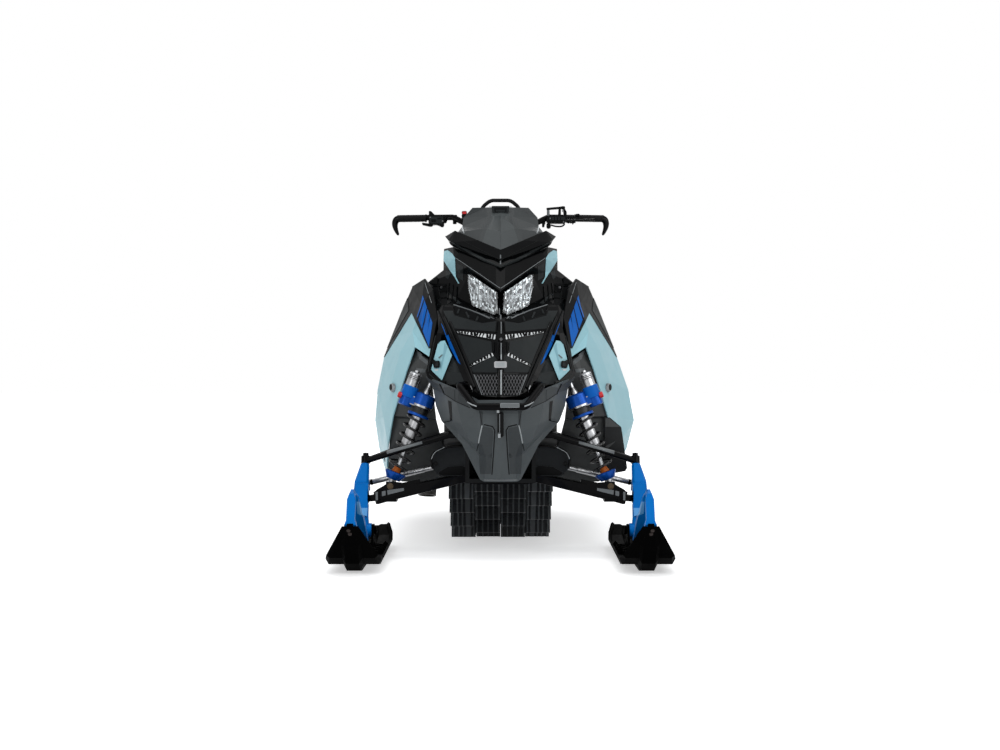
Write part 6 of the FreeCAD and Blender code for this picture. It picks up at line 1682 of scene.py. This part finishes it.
def make_arm_trim():
    """Gussets, plates and bolts of the lower arms, a painted highlight along the upper ones, lighter
    facets of painted highlight and skirts on the fenders.
    """
    piece = Piece()
    plates(piece, ARM_PLATE_Y, (
        ([(374.2, 492.0), (376.6, 489.6), (384.6, 485.0), (388.0, 482.4), (393.0, 481.6),
          (403.0, 482.6), (420.0, 479.0), (420.0, 489.6), (404.0, 494.6), (376.0, 500.8)],
         0, 0.004, ARM_BLACK, 0.0012),
        ([(375.3, 492.0), (378.0, 491.4), (378.0, 500.2), (375.6, 500.8)],
         -0.0016, 0.003, MID_GREY, 0.0006),
        ([(381.6, 491.4), (385.8, 490.4), (385.8, 495.4), (381.8, 496.4)],
         -0.0016, 0.003, MID_GREY, 0.0006),
        ([(387.0, 490.0), (404.0, 487.8), (404.2, 490.8), (387.4, 495.0)],
         -0.0016, 0.003, MID_GREY, 0.0006),
    ))
    piece.bolt(at_depth(390.2, 486.2, ARM_PLATE_Y), (0, -1, 0), 0.0082, GOLD_BOLT, 0.5)
    piece.mirror()
    piece.finish("lower_arm_plates", "chassis", "black_metal")
    # A lighter strip along the top of each upper arm tube: a painted highlight
    laid("upper_arm_highlights", "upper_arms", [
        [(386.6, 450.8), (422.0, 441.2), (422.4, 443.8), (387.0, 454.0)],
    ], MID_GREY, height=0.0008)
    # Lighter facets on the fenders: painted highlight
    laid("fender_highlights", "fender_right", [
        [(414.8, 346.6), (428.0, 361.0), (427.6, 365.0), (419.6, 359.0)],
        [(416.4, 368.0), (425.8, 369.0), (425.2, 372.4), (416.4, 373.0)],
    ], MID_GREY, height=0.0012)
    mirrored_plates("fender_skirts", "grey_plastic", SKIRT_Y, [
        ([(389.6, 460.0), (444.0, 438.0), (444.0, 479.6), (420.0, 481.6), (402.0, 481.6),
          (391.4, 474.0)], 0, 0.003, FENDER_GREY, 0.0008),
    ])


def make_lower_guard():
    """The dark lower guard that only the rider's left side has, held by two blocks; it is in a darker
    copy of the fender grey, which is painted shade, with lighter wedges of painted sheen.
    """
    piece = Piece()
    plates(piece, GUARD_Y, (
        ([(604.5, 417.0), (609.8, 417.4), (621.4, 427.2), (627.2, 467.8), (625.5, 471.1),
          (616.4, 472.8), (605.0, 471.0)], 0, 0.005, FENDER_PAINTED_SHADE, 0.001),
        # The lighter wedges in the fender grey are painted sheen
        ([(605.2, 418.0), (609.6, 418.2), (620.0, 427.0), (605.2, 427.0)],
         -0.001, 0.003, FENDER_GREY, 0.0006),
        ([(605.2, 446.0), (616.6, 440.6), (612.0, 445.0), (605.2, 451.0)],
         -0.001, 0.003, FENDER_GREY, 0.0006),
    ))
    for column, row in ((606.6, 434.0), (608.0, 462.0)):
        piece.box(at_depth(column, row, GUARD_Y + 0.014), (0.016, 0.024, 0.030), BLACK_ROUGH, 0.002)
    piece.finish("lower_guard", "chassis", "grey_plastic")


def make_spindle_covers():
    """A faceted cover before each lower ball joint, with a facet of painted highlight and a crease line
    of painted shade, a painted highlight on each ski loop, ski bolts and tie rod sleeves.
    """
    cover = [(355.4, 483.0), (368.5, 483.0), (368.2, 488.0), (367.4, 491.0), (367.4, 502.4),
             (368.0, 505.0), (367.9, 508.4), (356.6, 508.4), (354.6, 496.0)]
    loop_sheen_outline = [(353.6, 501.6), (356.6, 501.6), (357.4, 513.4), (365.8, 517.4), (365.6, 523.0),
                  (355.6, 523.0)]
    facet = [(357.8, 507.8), (367.6, 507.8), (367.0, 516.4), (358.2, 513.0)]
    crease = [(357.0, 501.6), (357.6, 513.4), (367.0, 517.0)]
    for side, side_name in SIDES:
        def placed(outline):
            return outline if side == RIGHT else other_side(outline)

        def front(column, row):
            return at_depth(column, row, -0.957 - (row - 483) * 0.00094 - 0.0035)

        body = f"spindle_{side_name}"
        piece = Piece()
        piece.prism([front(*at) for at in placed(cover)], (0, 0.006, 0), BLUE_PAINT, 0.0012)
        # The lighter facet laid on the cover below is a painted highlight
        piece.prism([front(*at) - Vector((0, 0.0012, 0)) for at in placed(facet)], (0, 0.003, 0),
                    BLUE_PAINTED_HIGHLIGHT, 0.0004)
        # A darker blue line along the crease: painted shade
        piece.tube([front(*at) - Vector((0, 0.0008, 0)) for at in placed(crease)],
                   0.0011, BLUE_CREASE_SHADE, sides=8)
        piece.finish(f"spindle_cover_{side_name}", body, "blue_metal")
        # A light blue strip on the ski loop: a painted highlight
        laid(f"loop_highlight_{side_name}", f"ski_loop_{side_name}", [placed(loop_sheen_outline)], BLUE_PAINTED_HIGHLIGHT,
             body=f"ski_{side_name}", height=0.0008, both=False, facing=0.0)
        bolts = Piece()
        for at in placed([(348.4, 530.7), (349.8, 534.1)]):
            place, normal = spot(f"ski_{side_name}", *at)
            bolts.bolt(place, normal, 0.0048, WORN_BOLT, 0.4)
        bolts.finish(f"ski_bolts_{side_name}", f"ski_{side_name}", "steel")
        sleeve = Piece()
        flip = Vector((side, 1, 1))
        run = TIE_INNER - TIE_OUTER
        along = (run * flip).normalized()

        def on_rod(share):
            return (TIE_OUTER + run * share) * flip

        sleeve.stepped(on_rod(0.062), along, [(0, 8.6), (1, 9.8), (188, 9.8), (189, 8.6)], ALLOY, 28)
        sleeve.stepped(on_rod(0.036), along, [(0, 9), (1, 10.4), (8, 10.4), (9, 9)], BLACK_GLOSS, 28)
        sleeve.finish(f"tie_sleeve_{side_name}", f"tie_rod_{side_name}", "alloy")


make_screen()
make_visor_trim()
make_cowl()
make_brackets()
make_nose()
make_bumper_trim()
make_arches()
make_arm_trim()
make_lower_guard()
make_spindle_covers()


# Seat: vinyl over foam, swollen by a cloth simulation between its sewn lines

SEAT_FRONT, SEAT_LENGTH = -0.212, 0.734
SEAT_SEAMS = (0.17, 0.63)
# Share of the length, and of the greatest half width there
SEAT_STATIONS = ((0.0, 0.70), (0.3, 0.90), (0.65, 0.98), (0.85, 0.92), (1.0, 0.84))
SEAT_SHRINK = 0.011
SEAT_ROWS = 30
SEAT_HALF_WIDTH, SEAT_HEIGHT = 0.125, 0.400
# Shares of the half width and of the height at which the long welts run, and half the sewn width
TOP_WELT, SIDE_WELT, SEWN_WIDTH = 0.66, 0.52, 0.0045
CLOTH_FRAMES, CLOTH_PRESSURE = 20, 4
SEAT_CELL = 0.0065
WELT_RADIUS = 0.0021
STITCH_RADIUS, STITCH_HALF, STITCH_PITCH, STITCH_ASIDE = 0.0005, 0.0022, 0.0075, 0.0065
# Share of the half width and of the height, from the foot to the crown
SEAT_SHAPE = ((0.84, 0.0), (0.90, 0.10), (0.95, 0.30), (0.97, 0.45), (0.90, 0.62), (0.82, 0.78),
              (0.80, 0.90), (0.70, 0.965), (0.50, 0.99), (0.25, 0.995))


def seat_section(share):
    """Half width, foot and top of the seat at a share of its length."""
    for a, b in zip(SEAT_STATIONS, SEAT_STATIONS[1:]):
        if share <= b[0]:
            wide = between(a, b, (share - a[0]) / (b[0] - a[0]))[1]
            break
    corners = [vert.co for vert in NODES["seat"].data.vertices]
    middle = (min(c.y for c in corners) + max(c.y for c in corners)) / 2
    ends = [min(c.z for c in corners if (c.y < middle) == near) for near in (True, False)]
    crown = touch("seat", 0, (SEAT_FRONT + SEAT_LENGTH * share) / MM, "top")[0].z
    foot = max(ends[0] + (ends[1] - ends[0]) * share, crown - SEAT_HEIGHT)
    return wide * SEAT_HALF_WIDTH, foot, crown


def seat_ring(share):
    """The closed section of the seat from its right foot, drawn in towards both ends."""
    half, foot, crown = seat_section(share)
    half -= SEAT_SHRINK
    crown -= SEAT_SHRINK * 0.8
    y = SEAT_FRONT + SEAT_LENGTH * share
    right = [Vector((half * x, y, foot + (crown - foot) * z)) for x, z in SEAT_SHAPE]
    ring = right + [Vector((0, y, crown))] + [Vector((-p.x, y, p.z)) for p in reversed(right)]
    pull = 0.0
    if share < 0.06:
        pull = (1 - share / 0.06) ** 2 * 0.16
    elif share > 0.92:
        pull = ((share - 0.92) / 0.08) ** 2 * 0.20
    middle, foot = sum(ring, Vector()) / len(ring), ring[0].z
    for i, place in enumerate(ring):
        moved = middle + (place - middle) * (1 - pull)
        moved.z = foot if place.z == foot else max(moved.z, foot)
        ring[i] = moved
    return ring


def seat_body():
    """The closed form that the cover is stretched over."""
    rings = [seat_ring(i / SEAT_ROWS) for i in range(SEAT_ROWS + 1)]
    shape = Piece()
    shape.add([place for ring in rings for place in ring], ring_faces(len(rings), len(rings[0])),
              SEAT_VINYL)
    data = bpy.data.meshes.new("seat_cover")
    shape.mesh.to_mesh(data)
    shape.mesh.free()
    return data


def share_of(y):
    """How far along the seat a place is."""
    return min(max((y - SEAT_FRONT) / SEAT_LENGTH, 0.0), 1.0)


SECTIONS = {}


def near_section(share):
    """The section at the nearest hundredth of the length."""
    step = round(share * 100)
    if step not in SECTIONS:
        SECTIONS[step] = seat_section(step / 100)
    return SECTIONS[step]


def sewn(place):
    """Whether a place lies on a sewn line of the cover or on the base."""
    share = share_of(place.y)
    half, foot, crown = near_section(share)
    up = (place.z - foot) / (crown - foot)
    return (
        place.z < foot + 0.010
        or up > 0.80 and abs(abs(place.x) - half * TOP_WELT) < SEWN_WIDTH
        or up > 0.82 and any(abs(share - seam) * SEAT_LENGTH < SEWN_WIDTH for seam in SEAT_SEAMS)
        or abs(up - SIDE_WELT) * (crown - foot) < SEWN_WIDTH and abs(place.x) > half * 0.5
    )


def applied(piece):
    """Replaces a piece's mesh by what its modifiers make of it."""
    graph = bpy.context.evaluated_depsgraph_get()
    graph.update()
    made = bpy.data.meshes.new_from_object(piece.evaluated_get(graph))
    piece.modifiers.clear()
    old = piece.data
    piece.data = made
    bpy.data.meshes.remove(old)


def swell(piece):
    """Blows the cover up between its sewn lines, and caps how far each point may move."""
    start = [vert.co.copy() for vert in piece.data.vertices]
    held = piece.vertex_groups.new(name="held")
    held.add([i for i, place in enumerate(start) if sewn(place)], 1.0, "REPLACE")
    cloth = piece.modifiers.new("cloth", "CLOTH")
    cloth.settings.use_pressure = True
    cloth.settings.uniform_pressure_force = CLOTH_PRESSURE
    cloth.settings.vertex_group_mass = "held"
    cloth.settings.effector_weights.gravity = 0
    cloth.collision_settings.use_collision = False
    cloth.point_cache.frame_start, cloth.point_cache.frame_end = 1, CLOTH_FRAMES
    for step in range(1, CLOTH_FRAMES + 1):
        scene.frame_set(step)
    applied(piece)
    scene.frame_set(1)
    for vert, place in zip(piece.data.vertices, start):
        move = vert.co - place
        if move.length > SEAT_SHRINK:
            vert.co = place + move.normalized() * SEAT_SHRINK


def make_seat():
    """The cover, which stands for the plain seat, and its welts."""
    seat = bpy.data.objects.new("seat_cover", seat_body())
    scene.collection.objects.link(seat)
    cells = seat.modifiers.new("cells", "REMESH")
    cells.mode = "VOXEL"
    cells.voxel_size = SEAT_CELL
    soft = seat.modifiers.new("soft", "SMOOTH")
    soft.iterations = 4
    applied(seat)
    swell(seat)
    finer = seat.modifiers.new("finer", "SUBSURF")
    finer.levels = finer.render_levels = 1
    applied(seat)
    data = seat.data
    data.materials.clear()
    for material in (SEAT_VINYL, SEAT_SIDE):
        data.materials.append(material)
    for face in data.polygons:
        _, foot, crown = near_section(share_of(face.center.y))
        face.material_index = int((face.center.z - foot) / (crown - foot) < SIDE_WELT)
    data.shade_smooth()
    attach(seat, "chassis")
    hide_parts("seat")
    make_seat_sewing(data)


def make_seat_sewing(data):
    """Welts and stitches that follow the finished cover."""
    cover = BVHTree.FromPolygons([v.co for v in data.vertices], [f.vertices for f in data.polygons])
    welts = Piece()
    lines = []
    for side in (LEFT, RIGHT):
        top, flank = [], []
        for i in range(4, 94, 2):
            share = i / 100
            half, foot, crown = near_section(share)
            y = SEAT_FRONT + SEAT_LENGTH * share
            top.append((Vector((side * half * TOP_WELT, y, crown + 0.1)), Vector((0, 0, -1))))
            flank.append((Vector((side * 0.3, y, foot + (crown - foot) * SIDE_WELT)),
                          Vector((-side, 0, 0))))
        lines += [top, flank]
    for share in SEAT_SEAMS:
        half, _, crown = near_section(share)
        y = SEAT_FRONT + SEAT_LENGTH * share
        lines.append([(Vector((half * TOP_WELT * k / 10, y, crown + 0.1)),
                       Vector((0, 0, -1))) for k in range(-10, 11)])
    for line in lines:
        hits = [cover.ray_cast(start, way)[:2] for start, way in line]
        hits = [(place, normal) for place, normal in hits if place]
        welts.tube([place - normal * 0.0006 for place, normal in hits], WELT_RADIUS, SEAT_SIDE, sides=8)
        gone = 0.0
        for (a, normal), (b, _) in zip(hits, hits[1:]):
            run = b - a
            along = run.normalized()
            aside = normal.cross(along).normalized() * STITCH_ASIDE
            while gone < run.length:
                for way in (-1, 1):
                    middle = a + along * gone + aside * way
                    place, up = cover.find_nearest(middle)[:2]
                    if place:
                        reach, sunk = along * STITCH_HALF, place + up * 0.0001
                        thread = [sunk - reach, place + up * 0.0008, sunk + reach]
                        welts.tube(thread, STITCH_RADIUS, THREAD, sides=4)
                gone += STITCH_PITCH
            gone -= run.length
    welts.finish("seat_welts", "chassis", "seat_cover")


make_seat()


# Rear and sides: ribs, rivets, hubs, board teeth, console fittings and side vents

RIVET = ((0, 4.2), (0.8, 4.0), (1.6, 2.2))


def make_rear_trim():
    """Ribs of the deck, the flap and the lamp, rivets, board teeth and wheel hubs."""
    patch("deck_ribs", "tunnel", [band((x, 610), (x, 1190), 16) for x in (40, 92, 144)], TUNNEL_SHEET,
          seen_from="top", height=0.003, rim=0.0012)
    patch("flap_ribs", "snow_flap", [band((0, y), (158, y), 14) for y in (1300, 1350, 1400, 1450)],
          BLACK_SATIN, seen_from="top", height=0.004, rim=0.0012)
    piece = Piece()
    for side, side_name in SIDES:
        rivets = [touch("tunnel", side * 189, -380 + i * 60, "top") for i in range(27)]
        rivets += [touch("tunnel", -340 + i * 60, 330, side_name) for i in range(24)]
        for place, normal in rivets:
            piece.stepped(place, normal, RIVET, DARK_STEEL, 12)
        for i in range(35):
            piece.box((side * 0.4225, -0.385 + i * 0.041, 0.3070), (0.0044, 0.020, 0.005),
                      TUNNEL_SHEET, 0.0008)
        hub = Vector((side * 0.1532, 1.025, 0.161))
        piece.stepped(hub, (side, 0, 0), [(0, 34), (2, 34), (4, 30), (4, 20), (7, 18)], ALLOY)
        piece.bolt(hub + Vector((side * 0.006, 0, 0)), (side, 0, 0), 0.008, DARK_STEEL)
        for x in (60, 150):
            place, normal = touch("snow_flap", side * x, 1237, "top")
            piece.bolt(place, normal, 0.0055, DARK_STEEL)
    piece.finish("rivets", "chassis", "steel")
    lamp = Piece()
    for i in range(15):
        place, _ = touch("tail_lamp", -77 + i * 11, 1230, "top")
        lamp.box((place.x, 1.2497, place.z - 0.016), (0.0045, 0.003, 0.024), RED_LENS, 0.0008)
    lamp.finish("lamp_ribs", "chassis", "red_lens")


def make_console_trim():
    """Knee pads, the tank cap, the key and a start button on the console."""
    knee_pad = [(-455, 660), (-455, 900), (-420, 930), (-300, 850), (-250, 760), (-250, 660)]
    for _, side_name in SIDES:
        patch(f"knee_pad_{side_name}", "console", [knee_pad], RUBBER, seen_from=side_name,
              height=0.004, rim=0.0015, both=False, facing=0.35)
    piece = Piece()
    place, normal = touch("console", 0, -290, "top")
    piece.stepped(place, normal, [(0, 46), (4, 46), (6, 42), (18, 40), (21, 36)], BLACK_SATIN, 40)
    first = normal.orthogonal().normalized()
    for spoke in around(first, normal.cross(first), 20):
        grip = place + normal * 0.012 + spoke * 0.0405
        piece.box(grip, (0.004, 0.004, 0.012), BLACK_ROUGH, 0.001, turned_to(normal))
    for x, radius, material in ((62, 13, DARK_STEEL), (-62, 12, MID_GREY)):
        place, normal = touch("console", x, -440, "top")
        collar = [(0, radius * 1.4), (3, radius * 1.4), (4, radius * 1.2)]
        piece.stepped(place, normal, collar, BLACK_SATIN, 28)
        piece.stepped(place + normal * 0.004, normal, [(0, radius), (4, radius), (6, radius * 0.8)],
                      material, 28)
    piece.finish("console_fittings", "chassis", "black_plastic")


def make_side_vents():
    """Slanted outlets low at the back of each side panel, with three fasteners."""
    for _, side_name in SIDES:
        slots = [band((-500 + k * 26, 560), (-524 + k * 26, 470), 11) for k in range(3)]
        patch(f"side_vents_{side_name}", f"side_panel_{side_name}", slots, BLACK_ROUGH,
              seen_from=side_name, height=0.0012, both=False)
        piece = Piece()
        for y, z in ((-470, 690), (-480, 420), (-700, 330)):
            place, normal = touch(f"side_panel_{side_name}", y, z, side_name)
            piece.stepped(place, normal, [(0, 8.5), (1.6, 8.5), (2.6, 6.5)], BLACK_SATIN, 24)
            piece.box(place + normal * 0.0026, (0.0018, 0.009, 0.0018), DARK_STEEL, 0.0003)
        piece.finish(f"side_fasteners_{side_name}", "chassis", "black_plastic")


make_rear_trim()
make_console_trim()
make_side_vents()
